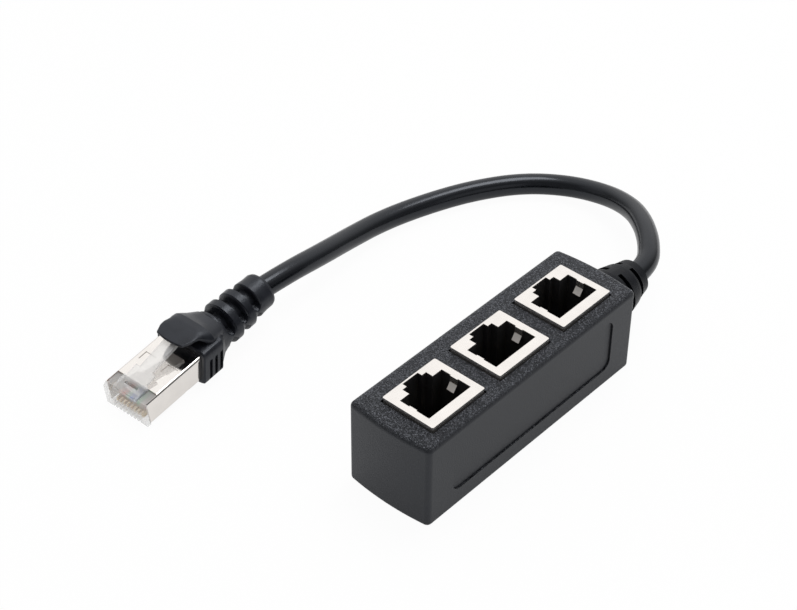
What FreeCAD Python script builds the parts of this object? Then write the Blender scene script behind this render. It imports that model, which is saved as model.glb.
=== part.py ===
import FreeCAD, Part
import Sketcher
import math
import os
import re

# Network splitter adapter: a black box with three shielded sockets in its top, and a short
# round cable that ends in a shielded plug. Millimetres, +Z up. The origin is the middle of the
# underside of the box, +Y is the end that the cable leaves, and +X is the long side with the
# contact rows of the sockets.

doc = FreeCAD.newDocument("SplitterAdapter")
sheet = doc.addObject("Spreadsheet::Sheet", "Sizes")

# Driving dimensions: name, size, what it is
SIZES = [
    ("fit_gap", 0.05, "clearance between parts that seat in each other"),
    ("latch_margin", 4.725, "top face beside the sockets, latch side"),
    ("contact_margin", 3.025, "top face beside the sockets, contact side"),
    ("near_margin", 4.26, "top face before the first socket"),
    ("far_margin", 4.8, "top face behind the last socket"),
    ("end_bow", 0.8, "how far the middle of each end stands out"),
    ("corner_radius", 1.2, "upright corners of the box"),
    ("top_radius", 1.2, "rounding round the top face"),
    ("foot_radius", 0.8, "rounding round the underside"),
    ("wall", 1.6, "side and end walls"),
    ("top_wall", 1.6, "top wall"),
    ("panel_end", 7.1, "side panel, from the box's corners"),
    ("panel_low", 4.2, "side panel, lower edge above the underside"),
    ("panel_drop", 3.3, "side panel, upper edge below the top face"),
    ("panel_radius", 2.2, "side panel, corners"),
    ("panel_depth", 0.35, "side panel, below the side's face"),
    ("window_gap", 0.3, "gap between the top face's windows and the sockets"),
    ("cover_thickness", 1.6, "base cover"),
    ("rib_thickness", 1.2, "ribs of the base cover that carry the board"),
    ("rib_width", 9.0, "length of those ribs across the box"),
    ("rib_height", 3.0, "height of those ribs"),
    ("board_thickness", 1.2, "circuit board"),
    ("board_margin", 0.25, "gap between the board and the walls"),
    ("board_end_rib", 1.6, "end ribs, in from the board's ends"),
    ("jack_pitch", 19.62, "spacing of the sockets"),
    ("jack_height", 15.47, "socket face above the board"),
    ("latch_rim", 0.345, "socket face beside the keyway"),
    ("contact_rim", 2.275, "socket face beside the contacts"),
    ("mouth_rim", 1.53, "socket face at the two ends of the opening"),
    ("jack_proud", 0.97, "how far the socket faces stand above the box"),
    ("jack_sheet", 0.25, "sheet of the socket shields"),
    ("jack_corner", 0.35, "folded corners of the socket shields"),
    ("opening_back", 3.25, "socket opening, from the middle to the latch side"),
    ("opening_half", 6.02, "socket opening, half its width"),
    ("key_one_half", 3.4, "first step of the keyway, half its width"),
    ("key_one_depth", 1.7, "first step of the keyway, depth"),
    ("key_two_half", 2.2, "second step of the keyway, half its width"),
    ("key_two_depth", 1.08, "second step of the keyway, depth"),
    ("cavity_floor", 3.67, "floor of the socket above the board"),
    ("tab_width", 1.8, "ground spring, width"),
    ("tab_drop", 1.5, "ground spring, straight part"),
    ("tab_reach", 0.95, "ground spring, how far its end leans in"),
    ("tab_slant", 1.4, "ground spring, height of the leaning part"),
    ("leg_width", 1.2, "solder legs of the shield"),
    ("leg_length", 2.6, "solder legs of the shield, below the board's top"),
    ("peg_radius", 0.8, "locating pegs of the insulator"),
    ("peg_back", 3.0, "pegs, behind the middle of the socket"),
    ("peg_half_spacing", 4.6, "pegs, half their spacing"),
    ("contact_pitch", 1.02, "spacing of the contacts"),
    ("contact_width", 0.36, "contacts, across"),
    ("contact_sheet", 0.3, "contacts, thickness"),
    ("contact_setback", 0.85, "outer side of the contacts behind the opening's edge"),
    ("contact_reach", 2.8, "free ends of the contacts inside the opening's edge"),
    ("contact_tip_rise", 2.73, "free ends of the contacts above the socket's floor"),
    ("contact_top_drop", 1.5, "bend of the contacts below the socket's face"),
    ("contact_tail", 2.5, "tails of the contacts, below the board's top"),
    ("tail_row", 2.54, "spacing of the two rows of tails"),
    ("comb_slot", 0.56, "slots of the insulator for the contacts"),
    ("comb_clearance", 0.2, "outer side of those slots behind the contacts"),
    ("comb_top", 0.9, "wall over the slots, below the insulator's top"),
    ("recess_height", 1.3, "room for the tails under the insulator"),
    ("hole_radius", 0.42, "holes of the board for the tails"),
    ("cable_diameter", 4.9, "cable"),
    ("relief_height", 9.8, "axis of the box's strain relief above the underside"),
    ("relief_neck", 4.6, "strain relief, radius in the wall"),
    ("relief_flange", 6.0, "strain relief, radius inside the wall"),
    ("relief_flange_thickness", 1.2, "strain relief, flange inside the wall"),
    ("relief_base", 6.7, "strain relief, radius at the wall"),
    ("relief_at_one", 6.18, "strain relief, radius before its first slots"),
    ("relief_at_two", 5.19, "strain relief, radius before its second slots"),
    ("relief_at_ring", 4.49, "strain relief, radius at the ring of its tip"),
    ("relief_tip", 4.1, "strain relief, radius at its tip"),
    ("relief_mouth", 3.28, "strain relief, inner edge of the chamfer at its tip"),
    ("relief_reach", 14.5, "strain relief, tip beyond the box's corners"),
    ("relief_slot", 1.25, "strain relief, width of its slots"),
    ("relief_slot_one", 6.6, "strain relief, first row of slots beyond the corners"),
    ("relief_slot_two", 11.0, "strain relief, second row of slots beyond the corners"),
    ("relief_slot_turn", 152, "strain relief, turn that one slot spans, degrees"),
    ("relief_core", 3.1, "strain relief, radius inside its slots"),
    ("relief_chamfer", 0.6, "strain relief, chamfer at its tip"),
    ("relief_ring", 2.0, "strain relief, ring at its tip"),
    ("wire_diameter", 0.9, "insulated conductors"),
    ("wire_bend", 0.85, "bend of the conductors over the board"),
    ("plug_width", 11.7, "plug across"),
    ("plug_height", 5.9, "plug shield, height"),
    ("plug_sheet", 0.3, "plug shield, sheet"),
    ("plug_corner", 0.6, "plug shield, long edges"),
    ("shield_side_start", 1.0, "plug shield, front of its sides from the nose"),
    ("shield_top_start", 4.2, "plug shield, front of its top from the nose"),
    ("shield_base_start", 8.5, "plug shield, front of its underside from the nose"),
    ("shield_end", 18.2, "plug shield, rear end inside the boot"),
    ("notch_front", 10.8, "notches in the shield's lower edges, front from the nose"),
    ("notch_rear", 12.3, "notches in the shield's lower edges, rear from the nose"),
    ("notch_height", 0.6, "notches in the shield's lower edges, height"),
    ("stamp_inner", 1.75, "stamped pads of the shield's top, inner side from the middle"),
    ("stamp_outer", 4.6, "stamped pads of the shield's top, outer side from the middle"),
    ("stamp_front", 9.1, "stamped pads of the shield's top, front from the nose"),
    ("stamp_rear", 11.4, "stamped pads of the shield's top, rear from the nose"),
    ("nose_height", 4.9, "front face of the plug's nose"),
    ("nose_step", 0.85, "slope above the nose's front face, front to back"),
    ("plug_slot", 0.52, "slots of the nose for the contact blades"),
    ("plug_slot_length", 5.4, "slots of the nose, length"),
    ("plug_slot_height", 1.95, "slots of the nose, height"),
    ("blade_front", 0.9, "contact blades, front from the nose"),
    ("blade_rear", 4.6, "contact blades, rear from the nose"),
    ("blade_chamfer", 0.3, "contact blades, chamfer of their lower front corner"),
    ("blade_low", 0.45, "contact blades, lower edge above the plug's underside"),
    ("wire_start", 2.0, "ends of the conductors from the nose"),
    ("body_end", 17.6, "rear end of the clear body"),
    ("latch_front", 0.45, "block at the root of the latch, front from the nose"),
    ("latch_block_rear", 3.9, "block at the root of the latch, rear from the nose"),
    ("latch_block_half", 3.35, "block at the root of the latch, half its width"),
    ("latch_clearance", 0.2, "latch lever, over the shield at its root"),
    ("latch_slot_front", 2.35, "slot in the block of the latch, front from the nose"),
    ("latch_slot_rear", 2.95, "slot in the block of the latch, rear from the nose"),
    ("latch_slot_half", 1.85, "slot in the block of the latch, half its width"),
    ("latch_slot_depth", 1.3, "slot in the block of the latch, depth"),
    ("latch_thickness", 0.95, "latch lever at its free end"),
    ("latch_half_wide", 2.75, "wide part of the latch, half its width"),
    ("latch_half_narrow", 1.68, "lever of the latch, half its width"),
    ("latch_shoulder", 7.0, "shoulders of the latch, from the nose"),
    ("latch_end", 15.6, "free end of the latch, from the nose"),
    ("latch_lift", 3.3, "free end of the latch above the plug's top"),
    ("plug_axis", 2.6, "cable axis above the plug's underside"),
    ("collar_front", 15.4, "boot collar, lower front edge from the nose"),
    ("collar_rear", 20.9, "boot collar, lower rear edge from the nose"),
    ("collar_lean", 1.6, "boot collar, how far its top lies behind its underside"),
    ("collar_width", 13.9, "boot collar, across"),
    ("collar_low", 0.6, "boot collar, below the plug's underside"),
    ("collar_high", 6.95, "boot collar, top above the plug's underside"),
    ("collar_radius", 1.0, "boot collar, long edges"),
    ("taper_radius", 3.5, "rear of the boot's taper, corners"),
    ("taper_rear", 25.0, "rear of the boot's taper, from the nose"),
    ("boot_base", 4.65, "boot relief, radius at the taper"),
    ("boot_tip", 3.95, "boot relief, radius at its end ring"),
    ("boot_end", 41.0, "boot, rear end from the nose"),
    ("boot_lead", 8.2, "straight run of the cable behind the boot"),
    ("boot_slot", 1.7, "boot relief, width of its slots"),
    ("boot_slot_first", 27.0, "boot relief, first row of slots from the nose"),
    ("boot_slot_pitch", 4.1, "boot relief, spacing of its rows of slots"),
    ("boot_core", 2.85, "boot relief, radius inside its slots"),
    ("boot_slot_turn", 150, "boot relief, turn that one slot spans, degrees"),
    ("boot_ring", 2.6, "boot relief, ring at its rear end"),
    ("boot_chamfer", 0.8, "boot relief, chamfer of that ring"),
    ("hood_front", 13.85, "hood over the latch, front edge from the nose"),
    ("hood_bow", 0.4, "hood, how far the middle of its front edge stands out"),
    ("hood_front_half", 3.55, "hood, half its width at the front edge"),
    ("hood_front_high", 10.05, "hood, top of its front edge above the plug's underside"),
    ("hood_plate", 0.62, "hood, thickness over the latch"),
    ("hood_plate_rear", 17.9, "hood, where its sides turn down, from the nose"),
    ("hood_plate_half", 4.5, "hood, half its width there"),
    ("hood_edge_drop", 0.2, "hood, its sides below its middle there"),
    ("hood_leg", 20.0, "hood, where its sides meet the collar, from the nose"),
    ("hood_leg_half", 5.3, "hood, half its width on the collar"),
    ("hood_leg_high", 9.7, "hood, middle above the plug's underside there"),
    ("hood_crest", 21.3, "hood, rear crest from the nose"),
    ("hood_crest_half", 6.1, "hood, half its width at the rear crest"),
    ("hood_crest_high", 9.35, "hood, rear crest above the plug's underside"),
    ("hood_rear_half", 3.9, "hood, half its width at the boot's relief"),
    ("hood_rear_side", 3.45, "hood, its sides above the cable's axis there"),
    ("hood_root", 1.0, "hood, how deep it is set into the collar"),
    ("grip_first", 1.9, "upright slots in the collar's sides, first from the collar's front"),
    ("grip_slot", 0.75, "upright slots in the collar's sides, width"),
    ("grip_slot_pitch", 1.55, "upright slots in the collar's sides, spacing"),
    ("grip_slot_depth", 0.5, "upright slots in the collar's sides, depth"),
    ("grip_low", -0.35, "upright slots in the collar's sides, lower end above the plug's underside"),
    ("grip_high", 4.45, "upright slots in the collar's sides, upper end above the plug's underside"),
    ("plug_x", -55.8, "nose of the plug, across the box"),
    ("plug_y", -48.9, "nose of the plug, along the box"),
    ("plug_yaw", 1.9, "turn of the plug about the vertical, degrees"),
    ("plug_rise", 7.4, "rise of the plug towards its cable, degrees"),
]

JACKS = 3
CONTACTS = 8

# Dimensions that follow from them: name, formula, what it is
FOLLOWING = [
    ("board_low", "cover_thickness + rib_height", "underside of the board"),
    ("board_top", "board_low + board_thickness", "top of the board"),
    ("jack_width", "2 * (opening_back + key_one_depth + key_two_depth + latch_rim)", "socket face across the box"),
    ("jack_length", "2 * (opening_half + mouth_rim)", "socket face along the box"),
    ("opening_front", "jack_width / 2 - contact_rim", "socket opening, from the middle to the contacts"),
    ("cavity_depth", "jack_height - cavity_floor", "depth of the socket below its face"),
    ("contact_outer", "opening_front + contact_setback", "outer side of the contacts"),
    ("contact_tip_x", "opening_front - contact_reach", "free ends of the contacts, across"),
    ("contact_tip_z", "cavity_floor + contact_tip_rise", "free ends of the contacts above the board"),
    ("comb_depth", "contact_outer + comb_clearance", "outer side of the slots for the contacts"),
    ("housing_width", "jack_width + latch_margin + contact_margin", "box across its long sides"),
    ("housing_length", "jack_pitch * %d + jack_length + near_margin + far_margin" % (JACKS - 1),
     "box between its corners"),
    ("housing_height", "board_top + jack_height - jack_proud", "box from underside to top face"),
    ("jack_shift_x", "(latch_margin - contact_margin) / 2", "middle of the sockets, across"),
    ("jack_shift_y", "(near_margin - far_margin) / 2", "middle socket along the box"),
    ("panel_half_length", "housing_length / 2 - panel_end", "side panel, half its length"),
    ("panel_high", "housing_height - panel_drop", "side panel, upper edge above the underside"),
]

for row, (alias, size, meaning) in enumerate(SIZES + FOLLOWING, start=1):
    sheet.set("A%d" % row, meaning)
    sheet.set("B%d" % row, "=" + size if isinstance(size, str) else repr(size))
    sheet.setAlias("B%d" % row, alias)
doc.recompute()

ALIASES = {alias for alias, size, meaning in SIZES + FOLLOWING}


def bound(text):
    """Expression text with each size's name written as a cell of the sheet."""
    return re.sub(r"[a-z]\w*", lambda found: "Sizes." + found[0] if found[0] in ALIASES else found[0], text)


def number(text):
    """Value of an expression of the sheet's sizes."""
    return float(sheet.evalExpression(text))


# Expressions that several parts share
INSULATOR_HEIGHT = "(jack_height - jack_sheet - fit_gap)"
CAVITY_HALF_WIDTH = "(housing_width / 2 - wall)"
CAVITY_HALF_LENGTH = "(housing_length / 2 - wall)"
KEY_ONE = "(opening_back + key_one_depth)"
KEY_TWO = "(opening_back + key_one_depth + key_two_depth)"


def jack_y(index):
    """Middle of a socket along the box."""
    return "(jack_shift_y + jack_pitch * %d)" % (index - (JACKS - 1) // 2)


def contact_y(index):
    """Place of a contact from the middle of its row."""
    return "(contact_pitch * (%s))" % (index - (CONTACTS - 1) / 2)


# Sketch and feature helpers

def new_body(name):
    body = doc.addObject("PartDesign::Body", name)
    body.Label = name
    return body


def plane(body, role):
    return [feature for feature in body.Origin.OriginFeatures if feature.Role == role][0]


def new_sketch(body, role, name, offset="0"):
    """Sketch on one of the body's origin planes, moved along the plane's normal."""
    sketch = body.newObject("Sketcher::SketchObject", name)
    sketch.AttachmentSupport = [(plane(body, role), "")]
    sketch.MapMode = "FlatFace"
    sketch.AttachmentOffset = FreeCAD.Placement(FreeCAD.Vector(0, 0, number(offset)), FreeCAD.Rotation())
    sketch.setExpression("AttachmentOffset.Base.z", bound(offset))
    return sketch


def pin_point(sketch, geometry, end, x, y):
    """Bind one point of a sketch to two expressions."""
    across = sketch.addConstraint(Sketcher.Constraint("DistanceX", -1, 1, geometry, end, number(x)))
    sketch.setExpression("Constraints[%d]" % across, bound(x))
    up = sketch.addConstraint(Sketcher.Constraint("DistanceY", -1, 1, geometry, end, number(y)))
    sketch.setExpression("Constraints[%d]" % up, bound(y))


def pin_radius(sketch, geometry, radius):
    index = sketch.addConstraint(Sketcher.Constraint("Radius", geometry, number(radius)))
    sketch.setExpression("Constraints[%d]" % index, bound(radius))


def polygon(sketch, corners):
    """Closed outline of straight edges, with every corner bound to the sheet."""
    first = sketch.GeometryCount
    count = len(corners)
    spots = [FreeCAD.Vector(number(x), number(y), 0) for x, y in corners]
    for i in range(count):
        sketch.addGeometry(Part.LineSegment(spots[i], spots[(i + 1) % count]), False)
    for i in range(count):
        sketch.addConstraint(Sketcher.Constraint("Coincident", first + i, 2, first + (i + 1) % count, 1))
    for i, (x, y) in enumerate(corners):
        pin_point(sketch, first + i, 1, x, y)


def rectangle(sketch, x0, y0, x1, y1):
    polygon(sketch, [(x0, y0), (x1, y0), (x1, y1), (x0, y1)])


def circle(sketch, x, y, radius):
    index = sketch.GeometryCount
    centre = FreeCAD.Vector(number(x), number(y), 0)
    sketch.addGeometry(Part.Circle(centre, FreeCAD.Vector(0, 0, 1), number(radius)), False)
    pin_point(sketch, index, 3, x, y)
    pin_radius(sketch, index, radius)


def round_rectangle(sketch, x0, y0, x1, y1, radius):
    """Closed outline of four straight edges and four corner arcs."""
    first = sketch.GeometryCount
    left, low, right, high, r = (number(text) for text in (x0, y0, x1, y1, radius))
    sides = [
        ((left + r, low), (right - r, low)),
        ((right, low + r), (right, high - r)),
        ((right - r, high), (left + r, high)),
        ((left, high - r), (left, low + r)),
    ]
    centres = [(right - r, low + r), (right - r, high - r), (left + r, high - r), (left + r, low + r)]
    for start, end in sides:
        sketch.addGeometry(Part.LineSegment(FreeCAD.Vector(*start, 0), FreeCAD.Vector(*end, 0)), False)
    for i, (x, y) in enumerate(centres):
        arc = Part.Circle(FreeCAD.Vector(x, y, 0), FreeCAD.Vector(0, 0, 1), r)
        begin = math.radians(-90 + 90 * i)
        sketch.addGeometry(Part.ArcOfCircle(arc, begin, begin + math.radians(90)), False)
    for i in range(4):
        sketch.addConstraint(Sketcher.Constraint("Coincident", first + i, 2, first + 4 + i, 1))
        sketch.addConstraint(Sketcher.Constraint("Coincident", first + 4 + i, 2, first + (i + 1) % 4, 1))
        pin_radius(sketch, first + 4 + i, radius)
    ends = [
        ("%s + %s" % (x0, radius), y0, "%s - (%s)" % (x1, radius), y0),
        (x1, "%s + %s" % (y0, radius), x1, "%s - (%s)" % (y1, radius)),
        ("%s - (%s)" % (x1, radius), y1, "%s + %s" % (x0, radius), y1),
        (x0, "%s - (%s)" % (y1, radius), x0, "%s + %s" % (y0, radius)),
    ]
    for i, (start_x, start_y, end_x, end_y) in enumerate(ends):
        pin_point(sketch, first + i, 1, start_x, start_y)
        pin_point(sketch, first + i, 2, end_x, end_y)


def arched_section(sketch, half_wide, base, side_high, middle_high):
    """Closed outline of a flat base, two upright sides and an arched top."""
    half, low, side, middle = (number(text) for text in (half_wide, base, side_high, middle_high))
    spots = [FreeCAD.Vector(-half, low, 0), FreeCAD.Vector(half, low, 0), FreeCAD.Vector(half, side, 0),
             FreeCAD.Vector(-half, side, 0)]
    sketch.addGeometry(Part.LineSegment(spots[0], spots[1]), False)
    sketch.addGeometry(Part.LineSegment(spots[1], spots[2]), False)
    sketch.addGeometry(Part.Arc(spots[2], FreeCAD.Vector(0, middle, 0), spots[3]), False)
    sketch.addGeometry(Part.LineSegment(spots[3], spots[0]), False)
    for i in range(4):
        sketch.addConstraint(Sketcher.Constraint("Coincident", i, 2, (i + 1) % 4, 1))
    pin_point(sketch, 0, 1, "-" + half_wide, base)
    pin_point(sketch, 0, 2, half_wide, base)
    pin_point(sketch, 1, 2, half_wide, side_high)
    pin_point(sketch, 3, 1, "-" + half_wide, side_high)
    rise = "((%s) - (%s))" % (middle_high, side_high)
    pin_radius(sketch, 2, "((%s) ^ 2 + %s ^ 2) / (2 * %s)" % (half_wide, rise, rise))


def pad(body, sketch, length, name, both_ways=False, backwards=False):
    feature = body.newObject("PartDesign::Pad", name)
    feature.Profile = sketch
    feature.Length = number(length)
    feature.setExpression("Length", bound(length))
    feature.Midplane = both_ways
    feature.Reversed = backwards
    doc.recompute()
    return feature


def pocket(body, sketch, length, name, with_normal=False, both_ways=False):
    """Cut along the sketch's normal or against it; a cut that removes nothing is a fault."""
    before = body.Tip.Shape.Volume
    feature = body.newObject("PartDesign::Pocket", name)
    feature.Profile = sketch
    feature.Length = number(length)
    feature.setExpression("Length", bound(length))
    feature.Reversed = with_normal
    feature.Midplane = both_ways
    doc.recompute()
    if feature.Shape.Volume >= before - 1e-6:
        raise RuntimeError("pocket cuts nothing: " + name)
    return feature


def fillet(body, radius, name, wanted):
    """Round the edges of the body's tip that the test picks."""
    tip = body.Tip
    edges = ["Edge%d" % (i + 1) for i, edge in enumerate(tip.Shape.Edges) if wanted(edge)]
    if not edges:
        raise RuntimeError("no edge to round: " + name)
    feature = body.newObject("PartDesign::Fillet", name)
    feature.Base = (tip, edges)
    feature.Radius = number(radius)
    feature.setExpression("Radius", bound(radius))
    doc.recompute()
    return feature


def runs_along(edge, axis):
    """True for a straight edge along x, y or z."""
    if not isinstance(edge.Curve, Part.Line):
        return False
    return abs(getattr(edge.Curve.Direction, axis)) > 0.999


def lies_at(edge, axis, place):
    """True for an edge whose whole length lies at one place along an axis."""
    box = edge.BoundBox
    low = getattr(box, axis.upper() + "Min")
    high = getattr(box, axis.upper() + "Max")
    return abs(low - place) < 1e-3 and abs(high - place) < 1e-3


def pattern_round(body, feature, name, copies):
    """Copies of a feature round the body's own Y axis."""
    axis = plane(body, "Y_Axis")
    pattern = body.newObject("PartDesign::PolarPattern", name)
    pattern.Originals = [feature]
    pattern.Axis = (axis, [""])
    pattern.Angle = 360
    pattern.Occurrences = copies
    body.Tip = pattern
    doc.recompute()
    return pattern


# Housing: a moulded box, open underneath

def make_housing():
    body = new_body("housing")
    half_width = "(housing_width / 2)"
    half_length = "(housing_length / 2)"
    bow_radius = "((housing_width * housing_width / 4 + end_bow * end_bow) / (2 * end_bow))"
    plan = new_sketch(body, "XY_Plane", "housing_plan")
    x = number(half_width)
    y = number(half_length)
    bow = number("end_bow")
    plan.addGeometry(Part.LineSegment(FreeCAD.Vector(x, -y, 0), FreeCAD.Vector(x, y, 0)), False)
    far_arc = Part.Arc(FreeCAD.Vector(x, y, 0), FreeCAD.Vector(0, y + bow, 0), FreeCAD.Vector(-x, y, 0))
    plan.addGeometry(far_arc, False)
    plan.addGeometry(Part.LineSegment(FreeCAD.Vector(-x, y, 0), FreeCAD.Vector(-x, -y, 0)), False)
    near_arc = Part.Arc(FreeCAD.Vector(-x, -y, 0), FreeCAD.Vector(0, -y - bow, 0), FreeCAD.Vector(x, -y, 0))
    plan.addGeometry(near_arc, False)
    for i in range(4):
        plan.addConstraint(Sketcher.Constraint("Coincident", i, 2, (i + 1) % 4, 1))
    pin_point(plan, 0, 1, half_width, "-" + half_length)
    pin_point(plan, 0, 2, half_width, half_length)
    pin_point(plan, 2, 1, "-" + half_width, half_length)
    pin_point(plan, 2, 2, "-" + half_width, "-" + half_length)
    pin_radius(plan, 1, bow_radius)
    pin_radius(plan, 3, bow_radius)
    pad(body, plan, "housing_height", "housing_block")
    height = number("housing_height")
    fillet(body, "corner_radius", "housing_corners", lambda edge: runs_along(edge, "z"))
    fillet(body, "top_radius", "housing_top_edge", lambda edge: lies_at(edge, "z", height))
    fillet(body, "foot_radius", "housing_foot_edge", lambda edge: lies_at(edge, "z", 0))

    room = new_sketch(body, "XY_Plane", "housing_room_plan")
    rectangle(room, "-" + CAVITY_HALF_WIDTH, "-" + CAVITY_HALF_LENGTH, CAVITY_HALF_WIDTH, CAVITY_HALF_LENGTH)
    pocket(body, room, "housing_height - top_wall", "housing_room", with_normal=True)

    windows = new_sketch(body, "XY_Plane", "housing_windows_plan", "housing_height")
    for index in range(JACKS):
        half_x = "(jack_width / 2 + window_gap)"
        half_y = "(jack_length / 2 + window_gap)"
        middle = jack_y(index)
        rectangle(windows, "jack_shift_x - " + half_x, middle + " - " + half_y,
                  "jack_shift_x + " + half_x, middle + " + " + half_y)
    pocket(body, windows, "top_wall + 1", "housing_windows")

    gland = new_sketch(body, "XZ_Plane", "housing_gland_outline", "-(housing_length / 2 + end_bow + 1)")
    circle(gland, "0", "relief_height", "relief_neck + fit_gap")
    pocket(body, gland, "wall + end_bow + 2", "housing_gland", with_normal=True)

    for side, start, inwards in (("right", "housing_width / 2", False), ("left", "-housing_width / 2", True)):
        panel = new_sketch(body, "YZ_Plane", "housing_panel_" + side, start)
        round_rectangle(panel, "(-panel_half_length)", "panel_low", "panel_half_length", "panel_high",
                        "panel_radius")
        pocket(body, panel, "panel_depth", "housing_panel_recess_" + side, with_normal=inwards)
    return body


# Base cover: closes the box, and its ribs carry the board

def make_base_cover():
    body = new_body("base_cover")
    plate = new_sketch(body, "XY_Plane", "cover_plan")
    half_x = "(housing_width / 2 - wall - fit_gap)"
    half_y = "(housing_length / 2 - wall - fit_gap)"
    rectangle(plate, "-" + half_x, "-" + half_y, half_x, half_y)
    pad(body, plate, "cover_thickness", "cover_plate")
    ribs = new_sketch(body, "XY_Plane", "cover_ribs_plan", "cover_thickness")
    end_rib = "(housing_length / 2 - wall - board_margin - board_end_rib)"
    between = ["(jack_shift_y + jack_pitch * %s)" % (step - (JACKS - 2) / 2) for step in range(JACKS - 1)]
    for place in ["-" + end_rib] + between + [end_rib]:
        rectangle(ribs, "-rib_width / 2", place + " - rib_thickness / 2",
                  "rib_width / 2", place + " + rib_thickness / 2")
    pad(body, ribs, "rib_height", "cover_ribs")
    return body


# Circuit board: joins the three sockets to the cable

def make_circuit_board():
    body = new_body("circuit_board")
    outline = new_sketch(body, "XY_Plane", "board_plan", "board_low")
    half_x = "(housing_width / 2 - wall - board_margin)"
    near = "(housing_length / 2 - wall - board_margin)"
    far = "(housing_length / 2 - wall - relief_flange_thickness - fit_gap)"
    rectangle(outline, "-" + half_x, "-" + near, half_x, far)
    pad(body, outline, "board_thickness", "board_plate")
    holes = new_sketch(body, "XY_Plane", "board_holes_plan", "board_top")
    for index in range(JACKS):
        middle = jack_y(index)
        for contact in range(CONTACTS):
            across = tail_x(contact) + " + jack_shift_x"
            circle(holes, across, middle + " + " + contact_y(contact), "hole_radius")
        for side in ("-", "+"):
            peg = middle + side + " peg_half_spacing"
            circle(holes, "jack_shift_x - peg_back", peg, "peg_radius + fit_gap")
            leg = middle + side + " (jack_length / 2 - jack_sheet / 2)"
            rectangle(holes, "jack_shift_x - leg_width / 2 - fit_gap", leg + " - jack_sheet / 2 - fit_gap",
                      "jack_shift_x + leg_width / 2 + fit_gap", leg + " + jack_sheet / 2 + fit_gap")
    pocket(body, holes, "board_thickness", "board_holes")
    return body


def tail_x(contact):
    """Middle of a contact's tail from the socket's middle: the tails stand in two rows."""
    row = " - tail_row" if contact % 2 else ""
    return "(contact_outer - contact_sheet / 2%s)" % row


# Sockets: folded shield, moulded insulator and eight spring contacts each

def place_in_jack(body, index):
    body.Placement = FreeCAD.Placement(
        FreeCAD.Vector(number("jack_shift_x"), number(jack_y(index)), number("board_top")), FreeCAD.Rotation())
    body.setExpression("Placement.Base.x", bound("jack_shift_x"))
    body.setExpression("Placement.Base.y", bound(jack_y(index)))
    body.setExpression("Placement.Base.z", bound("board_top"))


def opening_outline(sketch, extra):
    """Socket opening with its two-step keyway on the latch side."""
    polygon(sketch, [
        ("opening_front + " + extra, "-opening_half - " + extra),
        ("opening_front + " + extra, "opening_half + " + extra),
        ("-opening_back - " + extra, "opening_half + " + extra),
        ("-opening_back - " + extra, "key_one_half + " + extra),
        ("-%s - %s" % (KEY_ONE, extra), "key_one_half + " + extra),
        ("-%s - %s" % (KEY_ONE, extra), "key_two_half + " + extra),
        ("-" + KEY_TWO, "key_two_half + " + extra),
        ("-" + KEY_TWO, "-key_two_half - " + extra),
        ("-%s - %s" % (KEY_ONE, extra), "-key_two_half - " + extra),
        ("-%s - %s" % (KEY_ONE, extra), "-key_one_half - " + extra),
        ("-opening_back - " + extra, "-key_one_half - " + extra),
        ("-opening_back - " + extra, "-opening_half - " + extra),
    ])


def make_jack_shield(index):
    body = new_body("jack_shield_%d" % (index + 1))
    plan = new_sketch(body, "XY_Plane", "shield_plan")
    rectangle(plan, "-jack_width / 2", "-jack_length / 2", "jack_width / 2", "jack_length / 2")
    pad(body, plan, "jack_height", "shield_block")
    fillet(body, "jack_corner", "shield_corners", lambda edge: runs_along(edge, "z"))
    room = new_sketch(body, "XY_Plane", "shield_room_plan")
    half_x = "(jack_width / 2 - jack_sheet)"
    half_y = "(jack_length / 2 - jack_sheet)"
    rectangle(room, "-" + half_x, "-" + half_y, half_x, half_y)
    pocket(body, room, "jack_height - jack_sheet", "shield_room", with_normal=True)
    mouth = new_sketch(body, "XY_Plane", "shield_mouth_plan", "jack_height")
    opening_outline(mouth, "0")
    pocket(body, mouth, "jack_sheet * 2", "shield_mouth")
    legs = new_sketch(body, "XY_Plane", "shield_legs_plan")
    for side in ("-", ""):
        rectangle(legs, "-leg_width / 2", side + "(jack_length / 2 - jack_sheet)",
                  "leg_width / 2", side + "(jack_length / 2)")
    pad(body, legs, "leg_length", "shield_legs", backwards=True)
    springs = new_sketch(body, "YZ_Plane", "shield_springs_outline")
    top = "jack_height"
    bend = "(jack_height - tab_drop)"
    tip = "(jack_height - tab_drop - tab_slant)"
    for side in ("-", ""):
        polygon(springs, [
            (side + "(opening_half)", top),
            (side + "(opening_half)", bend),
            (side + "(opening_half - tab_reach)", tip),
            (side + "(opening_half - tab_reach - jack_sheet)", tip),
            (side + "(opening_half - jack_sheet)", bend),
            (side + "(opening_half - jack_sheet)", top),
        ])
    pad(body, springs, "tab_width", "shield_springs", both_ways=True)
    place_in_jack(body, index)
    return body


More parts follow.
